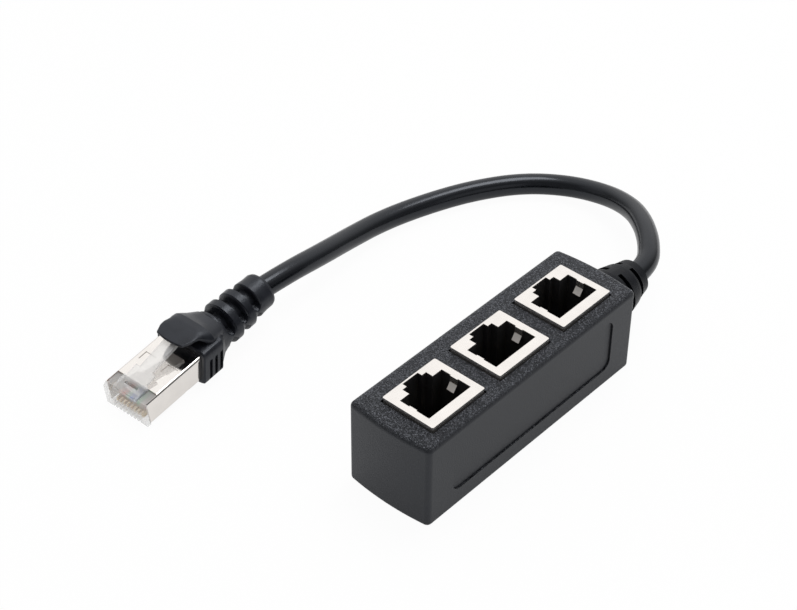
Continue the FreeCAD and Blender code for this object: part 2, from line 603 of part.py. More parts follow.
def make_jack_insulator(index):
    body = new_body("jack_insulator_%d" % (index + 1))
    plan = new_sketch(body, "XY_Plane", "insulator_plan")
    half_x = "(jack_width / 2 - jack_sheet - fit_gap)"
    half_y = "(jack_length / 2 - jack_sheet - fit_gap)"
    rectangle(plan, "-" + half_x, "-" + half_y, half_x, half_y)
    pad(body, plan, INSULATOR_HEIGHT, "insulator_block")
    mouth = new_sketch(body, "XY_Plane", "insulator_mouth_plan", INSULATOR_HEIGHT)
    opening_outline(mouth, "fit_gap")
    pocket(body, mouth, "cavity_depth - jack_sheet", "insulator_mouth")
    comb = new_sketch(body, "XY_Plane", "insulator_comb_plan")
    for contact in range(CONTACTS):
        middle = contact_y(contact)
        rectangle(comb, "opening_front - contact_sheet * 2", middle + " - comb_slot / 2",
                  "comb_depth", middle + " + comb_slot / 2")
    pocket(body, comb, INSULATOR_HEIGHT + " - comb_top", "insulator_comb", with_normal=True)
    recess = new_sketch(body, "XY_Plane", "insulator_recess_plan")
    rectangle(recess, "contact_outer - tail_row - contact_sheet * 3", "-contact_pitch * %d / 2" % CONTACTS,
              "comb_depth", "contact_pitch * %d / 2" % CONTACTS)
    pocket(body, recess, "recess_height", "insulator_recess", with_normal=True)
    pegs = new_sketch(body, "XY_Plane", "insulator_pegs_plan")
    for side in ("-", ""):
        circle(pegs, "-peg_back", side + "peg_half_spacing", "peg_radius")
    pad(body, pegs, "board_thickness", "insulator_pegs", backwards=True)
    place_in_jack(body, index)
    return body


def make_jack_contact(index, contact):
    """Flat spring: solder tail, upright in the comb, bend at the mouth and slanted free arm."""
    body = new_body("jack_%d_contact_%d" % (index + 1, contact + 1))
    side = new_sketch(body, "XZ_Plane", "contact_outline", "-" + contact_y(contact))
    outer = "contact_outer"
    inner = "(contact_outer - contact_sheet)"
    top = "(jack_height - contact_top_drop)"
    tail_out = "(%s + contact_sheet / 2)" % tail_x(contact)
    tail_in = "(%s - contact_sheet / 2)" % tail_x(contact)
    jog_low = "(recess_height / 3)"
    jog_high = "(recess_height / 3 + contact_sheet)"
    corners = [(tail_out, "-contact_tail")]
    if contact % 2:
        corners += [(tail_out, jog_low), (outer, jog_low)]
    corners += [
        (outer, top + " - contact_sheet * 2"),
        (outer + " - contact_sheet", top),
        (outer + " - contact_sheet * 3", top),
        ("contact_tip_x", "contact_tip_z"),
        ("contact_tip_x + contact_sheet", "contact_tip_z"),
        (outer + " - contact_sheet * 2.4", top + " - contact_sheet"),
        (inner, top + " - contact_sheet * 2"),
    ]
    if contact % 2:
        corners += [(inner, jog_high), (tail_in, jog_high)]
    corners += [(tail_in, "-contact_tail")]
    polygon(side, corners)
    pad(body, side, "contact_width", "contact_strip", both_ways=True)
    place_in_jack(body, index)
    return body


# Strain relief of the box: its flange holds it behind the end wall

def make_strain_relief():
    body = new_body("strain_relief")
    side = new_sketch(body, "YZ_Plane", "relief_outline")
    polygon(side, [
        ("-wall - relief_flange_thickness", "0"),
        ("relief_reach", "0"),
        ("relief_reach", "relief_mouth"),
        ("relief_reach - relief_chamfer", "relief_tip"),
        ("relief_reach - relief_chamfer - relief_ring", "relief_at_ring"),
        ("relief_slot_two - relief_slot", "relief_at_two"),
        ("relief_slot_one - relief_slot", "relief_at_one"),
        ("end_bow", "relief_base"),
        ("end_bow", "relief_neck"),
        ("-wall", "relief_neck"),
        ("-wall", "relief_flange"),
        ("-wall - relief_flange_thickness", "relief_flange"),
    ])
    turned = body.newObject("PartDesign::Revolution", "relief_turned")
    turned.Profile = side
    turned.ReferenceAxis = (side, ["H_Axis"])
    turned.Angle = 360
    doc.recompute()
    rows = new_sketch(body, "XY_Plane", "relief_slots_outline")
    for row in ("relief_slot_one", "relief_slot_two"):
        rectangle(rows, "relief_core", row + " - relief_slot / 2",
                  "relief_base + 1", row + " + relief_slot / 2")
    cut = body.newObject("PartDesign::Groove", "relief_slots")
    cut.Profile = rows
    cut.ReferenceAxis = (rows, ["V_Axis"])
    cut.Angle = number("relief_slot_turn")
    cut.setExpression("Angle", bound("relief_slot_turn"))
    cut.Midplane = True
    doc.recompute()
    pattern_round(body, cut, "relief_slots_round", 2)
    body.Placement = FreeCAD.Placement(
        FreeCAD.Vector(0, number("housing_length / 2"), number("relief_height")), FreeCAD.Rotation())
    body.setExpression("Placement.Base.y", bound("housing_length / 2"))
    body.setExpression("Placement.Base.z", bound("relief_height"))
    return body


# Plug frame: +Y from the nose to the cable, +Z up, zero height at the cable's axis

def plug_placement():
    turn = FreeCAD.Rotation(FreeCAD.Vector(0, 0, 1), number("plug_yaw"))
    rise = FreeCAD.Rotation(FreeCAD.Vector(1, 0, 0), number("plug_rise"))
    nose = FreeCAD.Placement(FreeCAD.Vector(number("plug_x"), number("plug_y"), 0), turn.multiply(rise))
    return nose.multiply(FreeCAD.Placement(FreeCAD.Vector(0, 0, number("plug_axis")), FreeCAD.Rotation()))


def above(height):
    """Height over the plug's underside, in the plug frame."""
    return "(%s - plug_axis)" % height


PLUG_HALF = "(plug_width / 2)"
INNER_HALF = "(plug_width / 2 - plug_sheet - fit_gap)"
INNER_TOP = above("(plug_height - plug_sheet - fit_gap)")
INNER_LOW = above("(plug_sheet + fit_gap)")
BLADE_TOP = "(plug_slot_height - fit_gap)"
WIRE_AXIS = "(plug_slot_height + wire_diameter / 2)"


def make_plug_shield():
    body = new_body("plug_shield")
    section = new_sketch(body, "XZ_Plane", "plug_shield_section", "-shield_side_start")
    rectangle(section, "-" + PLUG_HALF, above("0"), PLUG_HALF, above("plug_height"))
    pad(body, section, "shield_end - shield_side_start", "plug_shield_block", backwards=True)
    fillet(body, "plug_corner", "plug_shield_edges", lambda edge: runs_along(edge, "y"))
    bore = new_sketch(body, "XZ_Plane", "plug_shield_bore_section", "-shield_side_start")
    rectangle(bore, "-%s + plug_sheet" % PLUG_HALF, above("plug_sheet"),
              PLUG_HALF + " - plug_sheet", above("(plug_height - plug_sheet)"))
    pocket(body, bore, "shield_end - shield_side_start", "plug_shield_bore", with_normal=False)
    top = new_sketch(body, "XY_Plane", "plug_shield_top_cut", above("plug_height"))
    rectangle(top, "-%s + plug_sheet" % PLUG_HALF, "0", PLUG_HALF + " - plug_sheet", "shield_top_start")
    pocket(body, top, "plug_sheet * 2", "plug_shield_top_front")
    base = new_sketch(body, "XY_Plane", "plug_shield_base_cut", above("0"))
    rectangle(base, "-%s + plug_sheet" % PLUG_HALF, "0", PLUG_HALF + " - plug_sheet", "shield_base_start")
    pocket(body, base, "plug_sheet * 2", "plug_shield_base_front", with_normal=True)
    stamps = new_sketch(body, "XY_Plane", "plug_shield_stamps", above("plug_height"))
    for side in ("-", ""):
        rectangle(stamps, side + "stamp_inner", "stamp_front", side + "stamp_outer", "stamp_rear")
    pocket(body, stamps, "plug_sheet / 2", "plug_shield_stamped")
    for name, start, inwards in (("right", PLUG_HALF, False), ("left", "-" + PLUG_HALF, True)):
        notch = new_sketch(body, "YZ_Plane", "plug_shield_notch_outline_" + name, start)
        rectangle(notch, "notch_front", above("-plug_sheet"), "notch_rear", above("notch_height"))
        pocket(body, notch, "plug_sheet", "plug_shield_notch_" + name, with_normal=inwards)
    body.Placement = plug_placement()
    return body


def make_plug_body():
    """Clear body: nose with its comb, core inside the shield and the latch hinged at the nose."""
    body = new_body("plug_body")
    side = new_sketch(body, "YZ_Plane", "plug_core_outline")
    polygon(side, [
        ("0", INNER_LOW),
        ("body_end", INNER_LOW),
        ("body_end", INNER_TOP),
        ("nose_step", INNER_TOP),
        ("0", above("nose_height")),
    ])
    pad(body, side, "2 * " + INNER_HALF, "plug_core", both_ways=True)
    nose = new_sketch(body, "YZ_Plane", "plug_nose_outline")
    polygon(nose, [
        ("0", above("0")),
        ("shield_side_start - fit_gap", above("0")),
        ("shield_side_start - fit_gap", INNER_TOP),
        ("nose_step", INNER_TOP),
        ("0", above("nose_height")),
    ])
    pad(body, nose, "plug_width", "plug_nose", both_ways=True)
    chin = new_sketch(body, "YZ_Plane", "plug_chin_outline")
    rectangle(chin, "0", above("0"), "shield_base_start - fit_gap", INNER_LOW)
    pad(body, chin, "2 * " + INNER_HALF, "plug_chin", both_ways=True)
    comb = new_sketch(body, "XY_Plane", "plug_comb_plan", above("0"))
    for contact in range(CONTACTS):
        middle = contact_y(contact)
        rectangle(comb, middle + " - plug_slot / 2", "-1", middle + " + plug_slot / 2", "plug_slot_length")
    pocket(body, comb, "plug_slot_height", "plug_comb", with_normal=True)
    chamber = new_sketch(body, "XZ_Plane", "plug_chamber_section", "-body_end")
    half_row = "(contact_pitch * %d / 2)" % CONTACTS
    rectangle(chamber, "-%s - fit_gap" % half_row, above("plug_slot_height"),
              half_row + " + fit_gap", above("(plug_slot_height + wire_diameter + fit_gap)"))
    pocket(body, chamber, "body_end - wire_start + fit_gap", "plug_chamber", with_normal=True)
    latch = new_sketch(body, "YZ_Plane", "plug_latch_outline")
    root_low = INNER_TOP + " - latch_clearance"
    root_high = above("plug_height") + " + latch_clearance"
    polygon(latch, [
        ("latch_front", root_low),
        ("latch_block_rear", root_low),
        ("latch_block_rear", root_high),
        ("latch_end", above("(plug_height + latch_lift - latch_thickness)")),
        ("latch_end", above("(plug_height + latch_lift)")),
        ("latch_slot_front", root_high + " + latch_clearance"),
        ("latch_front + latch_clearance", root_high),
        ("latch_front", above("plug_height") + " - latch_clearance"),
    ])
    pad(body, latch, "2 * latch_block_half", "plug_latch", both_ways=True)
    trim = new_sketch(body, "XY_Plane", "plug_latch_trim", above("plug_height") + " + latch_lift + 1")
    for side_sign in ("-", ""):
        polygon(trim, [
            (side_sign + "(latch_block_half + 1)", "latch_block_rear + latch_clearance"),
            (side_sign + "latch_half_wide", "latch_block_rear + latch_clearance"),
            (side_sign + "latch_half_wide", "latch_shoulder"),
            (side_sign + "latch_half_narrow", "latch_shoulder"),
            (side_sign + "latch_half_narrow", "latch_end + 1"),
            (side_sign + "(latch_block_half + 1)", "latch_end + 1"),
        ])
    pocket(body, trim, "latch_lift + 1 - latch_clearance / 2", "plug_latch_lever")
    slot = new_sketch(body, "XY_Plane", "plug_latch_slot", above("plug_height") + " + 1")
    rectangle(slot, "-latch_slot_half", "latch_slot_front", "latch_slot_half", "latch_slot_rear")
    pocket(body, slot, "latch_slot_depth + 1", "plug_latch_window")
    body.Placement = plug_placement()
    return body


def make_plug_blade(contact):
    body = new_body("plug_contact_%d" % (contact + 1))
    side = new_sketch(body, "YZ_Plane", "blade_outline", contact_y(contact))
    polygon(side, [
        ("blade_front + blade_chamfer", above("blade_low")),
        ("blade_rear", above("blade_low")),
        ("blade_rear", above(BLADE_TOP)),
        ("blade_front", above(BLADE_TOP)),
        ("blade_front", above("(blade_low + blade_chamfer)")),
    ])
    pad(body, side, "contact_width", "blade", both_ways=True)
    body.Placement = plug_placement()
    return body


def make_plug_wire(contact):
    body = new_body("plug_wire_%d" % (contact + 1))
    section = new_sketch(body, "XZ_Plane", "wire_section", "-wire_start")
    circle(section, contact_y(contact), above(WIRE_AXIS), "wire_diameter / 2")
    pad(body, section, "body_end - wire_start", "wire_length", backwards=True)
    body.Placement = plug_placement()
    return body


def make_plug_boot():
    """Moulded boot: collar round the shield, hood over the latch and slotted relief on the cable."""
    body = new_body("plug_boot")
    half = "(collar_width / 2)"
    root = above("(collar_high - hood_root)")
    relief_top = "(boot_base - fit_gap)"
    stations = [
        ("hood_front", "hood_front_half", above("(hood_front_high - hood_edge_drop / 2)"),
         above("hood_front_high")),
        ("hood_plate_rear", "hood_plate_half", above("(hood_front_high - hood_edge_drop)"),
         above("hood_front_high")),
        ("hood_leg", "hood_leg_half", above("(collar_high + fit_gap)"), above("hood_leg_high")),
        ("hood_crest", "hood_crest_half", above("collar_high"), above("hood_crest_high")),
        ("taper_rear", "hood_rear_half", "hood_rear_side", relief_top),
    ]
    sections = []
    for place, half_wide, side_high, middle_high in stations:
        section = new_sketch(body, "XZ_Plane", "hood_section_" + place, "-" + place)
        base = relief_top + " / 2" if place == "taper_rear" else root
        arched_section(section, half_wide, base, side_high, middle_high)
        sections.append(section)
    hood = body.newObject("PartDesign::AdditiveLoft", "boot_hood")
    hood.Profile = sections[0]
    hood.Sections = sections[1:]
    hood.Ruled = True
    doc.recompute()
    hollow = new_sketch(body, "YZ_Plane", "hood_hollow_outline")
    polygon(hollow, [
        ("hood_front - hood_plate", root + " - hood_plate"),
        ("hood_front - hood_plate", above("(hood_front_high - hood_plate)")),
        ("hood_plate_rear - hood_plate", above("(hood_front_high - hood_plate)")),
        ("hood_plate_rear + hood_plate", above("(hood_front_high - hood_plate * 2)")),
        ("hood_leg - hood_plate", above("collar_high")),
        ("hood_leg - hood_plate", root + " - hood_plate"),
    ])
    pocket(body, hollow, "hood_crest_half * 2", "boot_hood_hollow", both_ways=True)
    bow = new_sketch(body, "XY_Plane", "hood_bow_outline", above("(hood_front_high + hood_plate)"))
    for sign in ("-", ""):
        polygon(bow, [
            ("0", "hood_front - hood_bow"),
            ("0", "hood_front"),
            (sign + "(hood_front_half + hood_bow)", "hood_front + hood_bow"),
            (sign + "(hood_front_half + hood_bow)", "hood_front - hood_bow"),
        ])
    pocket(body, bow, "hood_plate * 3", "boot_hood_bow")
    collar = new_sketch(body, "YZ_Plane", "collar_outline")
    polygon(collar, [
        ("collar_front", above("(-collar_low)")),
        ("collar_rear", above("(-collar_low)")),
        ("collar_rear + collar_lean", above("collar_high")),
        ("collar_front + collar_lean", above("collar_high")),
    ])
    pad(body, collar, "collar_width", "boot_collar", both_ways=True)
    side = number(half)
    fillet(body, "collar_radius", "boot_collar_edges",
           lambda edge: runs_along(edge, "y") and (lies_at(edge, "x", side) or lies_at(edge, "x", -side)))
    front = new_sketch(body, "XZ_Plane", "taper_front_section", "-(collar_rear - collar_radius)")
    round_rectangle(front, "(-collar_width / 2 + fit_gap)", above("(fit_gap - collar_low)"),
                    "(collar_width / 2 - fit_gap)", above("(collar_high - fit_gap)"), "collar_radius")
    rear = new_sketch(body, "XZ_Plane", "taper_rear_section", "-taper_rear")
    round_rectangle(rear, "(-boot_base)", "(-boot_base)", "boot_base", "boot_base", "taper_radius")
    taper = body.newObject("PartDesign::AdditiveLoft", "boot_taper")
    taper.Profile = front
    taper.Sections = [rear]
    taper.Ruled = True
    doc.recompute()
    side = new_sketch(body, "YZ_Plane", "boot_relief_outline")
    polygon(side, [
        ("collar_rear - 1", "0"),
        ("boot_end", "0"),
        ("boot_end", "boot_tip - boot_chamfer"),
        ("boot_end - boot_chamfer", "boot_tip"),
        ("boot_end - boot_ring", "boot_tip + fit_gap"),
        ("taper_rear", "boot_base - fit_gap"),
        ("collar_rear - 1", "boot_base - fit_gap - 1"),
    ])
    turned = body.newObject("PartDesign::Revolution", "boot_relief")
    turned.Profile = side
    turned.ReferenceAxis = (side, ["H_Axis"])
    turned.Angle = 360
    doc.recompute()
    rows = new_sketch(body, "YZ_Plane", "boot_slots_outline")
    for row in range(3):
        middle = "(boot_slot_first + boot_slot_pitch * %d)" % row
        rectangle(rows, middle + " - boot_slot / 2", "boot_core",
                  middle + " + boot_slot / 2", "boot_base + 1")
    cut = body.newObject("PartDesign::Groove", "boot_slots")
    cut.Profile = rows
    cut.ReferenceAxis = (rows, ["H_Axis"])
    cut.Angle = number("boot_slot_turn")
    cut.setExpression("Angle", bound("boot_slot_turn"))
    cut.Midplane = True
    doc.recompute()
    pattern_round(body, cut, "boot_slots_round", 2)
    seat = new_sketch(body, "XZ_Plane", "boot_seat_section", "-collar_front + 1")
    rectangle(seat, "-%s - fit_gap" % PLUG_HALF, above("(-fit_gap)"),
              PLUG_HALF + " + fit_gap", above("(plug_height + fit_gap)"))
    pocket(body, seat, "shield_end - collar_front + 1 + fit_gap", "boot_seat", with_normal=False)
    for name, start, inwards in (("right", half, False), ("left", "-" + half, True)):
        grips = new_sketch(body, "YZ_Plane", "grip_slots_" + name, start)
        for step in range(3):
            low = "(collar_front + grip_first + grip_slot_pitch * %d)" % step
            high = low + " + collar_lean * (grip_high - grip_low) / (collar_high + collar_low)"
            polygon(grips, [
                (low + " - grip_slot / 2", above("grip_low")),
                (low + " + grip_slot / 2", above("grip_low")),
                (high + " + grip_slot / 2", above("grip_high")),
                (high + " - grip_slot / 2", above("grip_high")),
            ])
        pocket(body, grips, "grip_slot_depth", "boot_grip_" + name, with_normal=inwards)
    body.Placement = plug_placement()
    return body


# Conductors inside the box: from the strain relief down to the board

def make_conductors():
    r = number("wire_diameter / 2")
    bend = number("wire_bend")
    start_y = number("housing_length / 2 - wall - relief_flange_thickness")
    high = number("relief_height")
    low = number("board_top")
    lead = number("fit_gap * 4")
    solids = []
    for contact in range(CONTACTS):
        x = number(contact_y(contact))
        turn_y = start_y - lead
        down_y = turn_y - bend
        inside = bend * (1 - math.sqrt(0.5))
        first = FreeCAD.Vector(x, start_y, high)
        bend_start = FreeCAD.Vector(x, turn_y, high)
        bend_middle = FreeCAD.Vector(x, down_y + inside, high - inside)
        bend_end = FreeCAD.Vector(x, down_y, high - bend)
        last = FreeCAD.Vector(x, down_y, low)
        path = Part.Wire([
            Part.LineSegment(first, bend_start).toShape(),
            Part.Arc(bend_start, bend_middle, bend_end).toShape(),
            Part.LineSegment(bend_end, last).toShape(),
        ])
        ring = Part.Wire(Part.Circle(first, FreeCAD.Vector(0, 1, 0), r).toShape())
        solids.append(path.makePipeShell([ring], True, True))
    feature = doc.addObject("Part::Feature", "cable_conductors")
    feature.Label = "cable_conductors"
    feature.Shape = Part.makeCompound(solids)
    return feature


# Cable: straight runs joined by tangent arcs, from the box's strain relief to the boot

def cable_route():
    """Points of the route, from the tip of the strain relief to the rear of the boot."""
    plug = plug_placement()
    tip = FreeCAD.Vector(0, number("housing_length / 2 + relief_reach"), number("relief_height"))
    boot = plug.multVec(FreeCAD.Vector(0, number("boot_end"), 0))
    before_boot = plug.multVec(FreeCAD.Vector(0, number("boot_end + boot_lead"), 0))
    chosen = [
        (0.0, 51.7, 9.8),
        (-3.3, 58.0, 9.7),
        (-9.4, 63.4, 8.9),
        (-16.8, 68.3, 6.8),
        (-25.6, 71.4, 4.3),
        (-35.8, 70.2, 2.6),
        (-44.6, 63.6, 2.5),
        (-51.2, 53.5, 2.5),
        (-55.7, 42.5, 2.5),
        (-58.4, 31.0, 2.9),
        (-58.6, 19.7, 4.7),
        (-57.6, 9.5, 7.3),
    ]
    return [tip] + [FreeCAD.Vector(*point) for point in chosen] + [before_boot, boot]


def make_cable():
    points = cable_route()
    edges = []
    radii = []
    last = points[0]
    for before, corner, after in zip(points, points[1:], points[2:]):
        to_before = before - corner
        to_after = after - corner
        shorter = min(to_before.Length, to_after.Length)
        half_turn = (math.pi - to_before.getAngle(to_after)) / 2
        reach = 0.45 * shorter
        radius = reach / math.tan(half_turn)
        to_before.normalize()
        to_after.normalize()
        arc_start = corner + to_before * reach
        arc_end = corner + to_after * reach
        middle = to_before + to_after
        middle.normalize()
        arc_middle = corner + middle * (radius / math.cos(half_turn) - radius)
        edges.append(Part.LineSegment(last, arc_start).toShape())
        edges.append(Part.Arc(arc_start, arc_middle, arc_end).toShape())
        radii.append(radius)
        last = arc_end
    edges.append(Part.LineSegment(last, points[-1]).toShape())
    path = Part.Wire(edges)
    radius = number("cable_diameter / 2")
    ring = Part.Wire(Part.Circle(points[0], points[1] - points[0], radius).toShape())
    tube = path.makePipeShell([ring], True, True)
    feature = doc.addObject("Part::Feature", "cable")
    feature.Label = "cable"
    feature.Shape = tube
    print("cable bend radii", [round(value, 1) for value in radii])
    print("cable length", round(path.Length, 2), "volume", round(tube.Volume, 2),
          "section times length", round(math.pi * radius ** 2 * path.Length, 2))
    return feature


parts = [make_housing(), make_base_cover(), make_circuit_board(), make_strain_relief()]
for index in range(JACKS):
    parts.append(make_jack_shield(index))
    parts.append(make_jack_insulator(index))
    for contact in range(CONTACTS):
        parts.append(make_jack_contact(index, contact))
parts += [make_plug_shield(), make_plug_body(), make_plug_boot()]
for contact in range(CONTACTS):
    parts.append(make_plug_blade(contact))
    parts.append(make_plug_wire(contact))
parts += [make_conductors(), make_cable()]
doc.recompute()

faults = [item.Name for item in doc.Objects if "Invalid" in item.State or "Error" in item.State]
for part in parts:
    if part.Shape.isNull() or not part.Shape.isValid():
        faults.append(part.Label)
if faults:
    raise RuntimeError("faulty objects: " + ", ".join(faults))

os.makedirs("parts", exist_ok=True)
for part in parts:
    part.Shape.exportStep(os.path.join("parts", part.Label + ".step"))
print(len(parts), "parts written")
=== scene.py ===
"""Looks of a network splitter adapter: a black box with three shielded sockets and a short lead."""

import math

import bmesh
import bpy
from bpy.props import FloatProperty, FloatVectorProperty, PointerProperty
from mathutils import Matrix, Vector


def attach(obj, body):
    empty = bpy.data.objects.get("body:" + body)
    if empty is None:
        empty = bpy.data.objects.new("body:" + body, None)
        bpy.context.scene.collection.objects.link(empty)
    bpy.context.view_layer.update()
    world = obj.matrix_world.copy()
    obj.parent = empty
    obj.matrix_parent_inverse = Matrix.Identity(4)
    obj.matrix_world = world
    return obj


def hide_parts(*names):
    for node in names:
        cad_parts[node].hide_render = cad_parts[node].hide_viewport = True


bl_info = {
    "name": "Network Splitter Adapter",
    "version": (1, 0, 0),
    "blender": (4, 5, 0),
    "location": "View3D > Sidebar > Splitter",
    "description": "Finishes, cable and stage of a network splitter with three shielded sockets",
    "category": "Object",
}

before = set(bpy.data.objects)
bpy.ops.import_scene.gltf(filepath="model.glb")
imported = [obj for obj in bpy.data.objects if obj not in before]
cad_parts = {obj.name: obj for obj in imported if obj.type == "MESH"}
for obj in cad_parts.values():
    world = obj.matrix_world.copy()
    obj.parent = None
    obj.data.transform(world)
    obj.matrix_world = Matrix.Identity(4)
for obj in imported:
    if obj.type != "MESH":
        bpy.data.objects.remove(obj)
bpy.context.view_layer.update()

MM = 0.001
JACKS = 3
CONTACTS = 8

# Route of the cable, from the tip of the strain relief to the rear of the boot, in millimetres
CABLE_ROUTE = [
    (0.0, 46.2, 9.8),
    (0.0, 51.0, 9.8),
    (-4.1, 57.2, 9.7),
    (-9.9, 63.1, 8.8),
    (-16.8, 68.3, 6.8),
    (-25.6, 71.4, 4.3),
    (-35.8, 70.2, 2.6),
    (-44.6, 63.6, 2.5),
    (-51.2, 53.5, 2.5),
    (-55.7, 42.5, 2.5),
    (-58.5, 31.0, 2.9),
    (-58.3, 19.7, 4.4),
    (-57.0, 9.5, 6.6),
]

# Plug: nose, cable axis above the underside, turn and rise
PLUG_NOSE = Vector((-55.8, -48.9, 0.0))
PLUG_AXIS = 2.6
PLUG_YAW = math.radians(1.9)
PLUG_RISE = math.radians(7.4)
PLUG_FRAME = (
    Matrix.Translation(PLUG_NOSE)
    @ Matrix.Rotation(PLUG_YAW, 4, "Z")
    @ Matrix.Rotation(PLUG_RISE, 4, "X")
    @ Matrix.Translation((0.0, 0.0, PLUG_AXIS))
)

# Rear of the boot, from the nose, and the way the cable leaves it
BOOT_END = 41.0
BOOT_LEAD = Vector((0.6, 7.2, -0.75))

# Conductors of the plug, in the order of its contacts
WIRE_COLOURS = {
    "wire_white_orange": (0.95, 0.62, 0.50),
    "wire_orange": (0.95, 0.24, 0.12),
    "wire_white_green": (0.60, 0.92, 0.66),
    "wire_blue": (0.10, 0.26, 0.85),
    "wire_white_blue": (0.56, 0.70, 0.98),
    "wire_green": (0.08, 0.52, 0.18),
    "wire_white_brown": (0.84, 0.70, 0.60),
    "wire_brown": (0.42, 0.18, 0.12),
}

# Black plastics mirror the light a little cooler than it is; the sparkle of their grain is a
# painted highlight, bright bluish flecks put into the colour
COOL = (0.86, 0.91, 1.0, 1.0)
PAINTED_GLINT = (0.118, 0.123, 0.14)

# Camera, in millimetres
CAMERA_PLACE = Vector((180.0, -231.56, 275.38))
CAMERA_AZIMUTH = math.radians(41.656)
CAMERA_ELEVATION = math.radians(39.982)
CAMERA_ROLL = math.radians(0.492)
CAMERA_SENSOR = 36.0
CAMERA_LENS = 89.4

# Sky: direction of its bright part, where that part fades in, and its two levels
SKY_TOWARDS = (-0.35, 0.5, 0.79)
SKY_FADE = (0.35, 0.95)
SKY_LEVELS = (0.26, 1.15)

# Floor: its level, and how far each kind of ray sees it glow instead of as lit paper
FLOOR_LEVEL = -0.0001
FLOOR_GLOW = {"Is Camera Ray": 0.96, "Is Transmission Ray": 0.96, "Is Glossy Ray": 0.55}

# Lamps, in metres: what they look at, then name, place, side and share of the key light's power
LAMP_TARGET = Vector((-0.02, 0.01, 0.01))
LAMPS = (
    ("key_lamp", (-0.04, 0.20, 0.58), 0.27, 1.0),
    ("right_lamp", (0.60, -0.10, 0.30), 0.45, 0.18),
    ("left_lamp", (-0.55, -0.35, 0.35), 0.45, 0.12),
)


# Settings


class HousingSettings(bpy.types.PropertyGroup):
    colour: FloatVectorProperty(
        name="Plastic",
        description="Colour of the moulded box",
        subtype="COLOR",
        size=3,
        min=0.0,
        max=1.0,
        default=(0.0058, 0.0062, 0.0088),
    )
    grain: FloatProperty(
        name="Grain",
        description="Size of the moulded grain on the top face",
        default=0.00034,
        min=0.00005,
        max=0.002,
        unit="LENGTH",
        precision=5,
    )


class SocketSettings(bpy.types.PropertyGroup):
    metal: FloatVectorProperty(
        name="Nickel",
        description="Colour of the plated shields",
        subtype="COLOR",
        size=3,
        min=0.0,
        max=1.0,
        default=(0.80, 0.765, 0.73),
    )
    gold: FloatVectorProperty(
        name="Gold",
        description="Colour of the contacts",
        subtype="COLOR",
        size=3,
        min=0.0,
        max=1.0,
        default=(0.86, 0.62, 0.28),
    )


class CableSettings(bpy.types.PropertyGroup):
    diameter: FloatProperty(
        name="Diameter",
        description="Outer diameter of the cable's jacket",
        default=0.0049,
        min=0.002,
        max=0.012,
        unit="LENGTH",
        precision=5,
    )
    colour: FloatVectorProperty(
        name="Jacket",
        description="Colour of the cable's jacket",
        subtype="COLOR",
        size=3,
        min=0.0,
        max=1.0,
        default=(0.0042, 0.0048, 0.0064),
    )


class BootSettings(bpy.types.PropertyGroup):
    colour: FloatVectorProperty(
        name="Vinyl",
        description="Colour of the boot and of the strain relief",
        subtype="COLOR",
        size=3,
        min=0.0,
        max=1.0,
        default=(0.0098, 0.0108, 0.0145),
    )


class StageSettings(bpy.types.PropertyGroup):
    floor_size: FloatProperty(
        name="Floor",
        description="Side of the pale floor",
        default=6.0,
        min=1.0,
        max=20.0,
        unit="LENGTH",
    )
    key_power: FloatProperty(
        name="Key light",
        description="Power of the large lamp over the box",
        default=1.3,
        min=0.0,
        max=50.0,
        subtype="POWER",
    )


# Materials


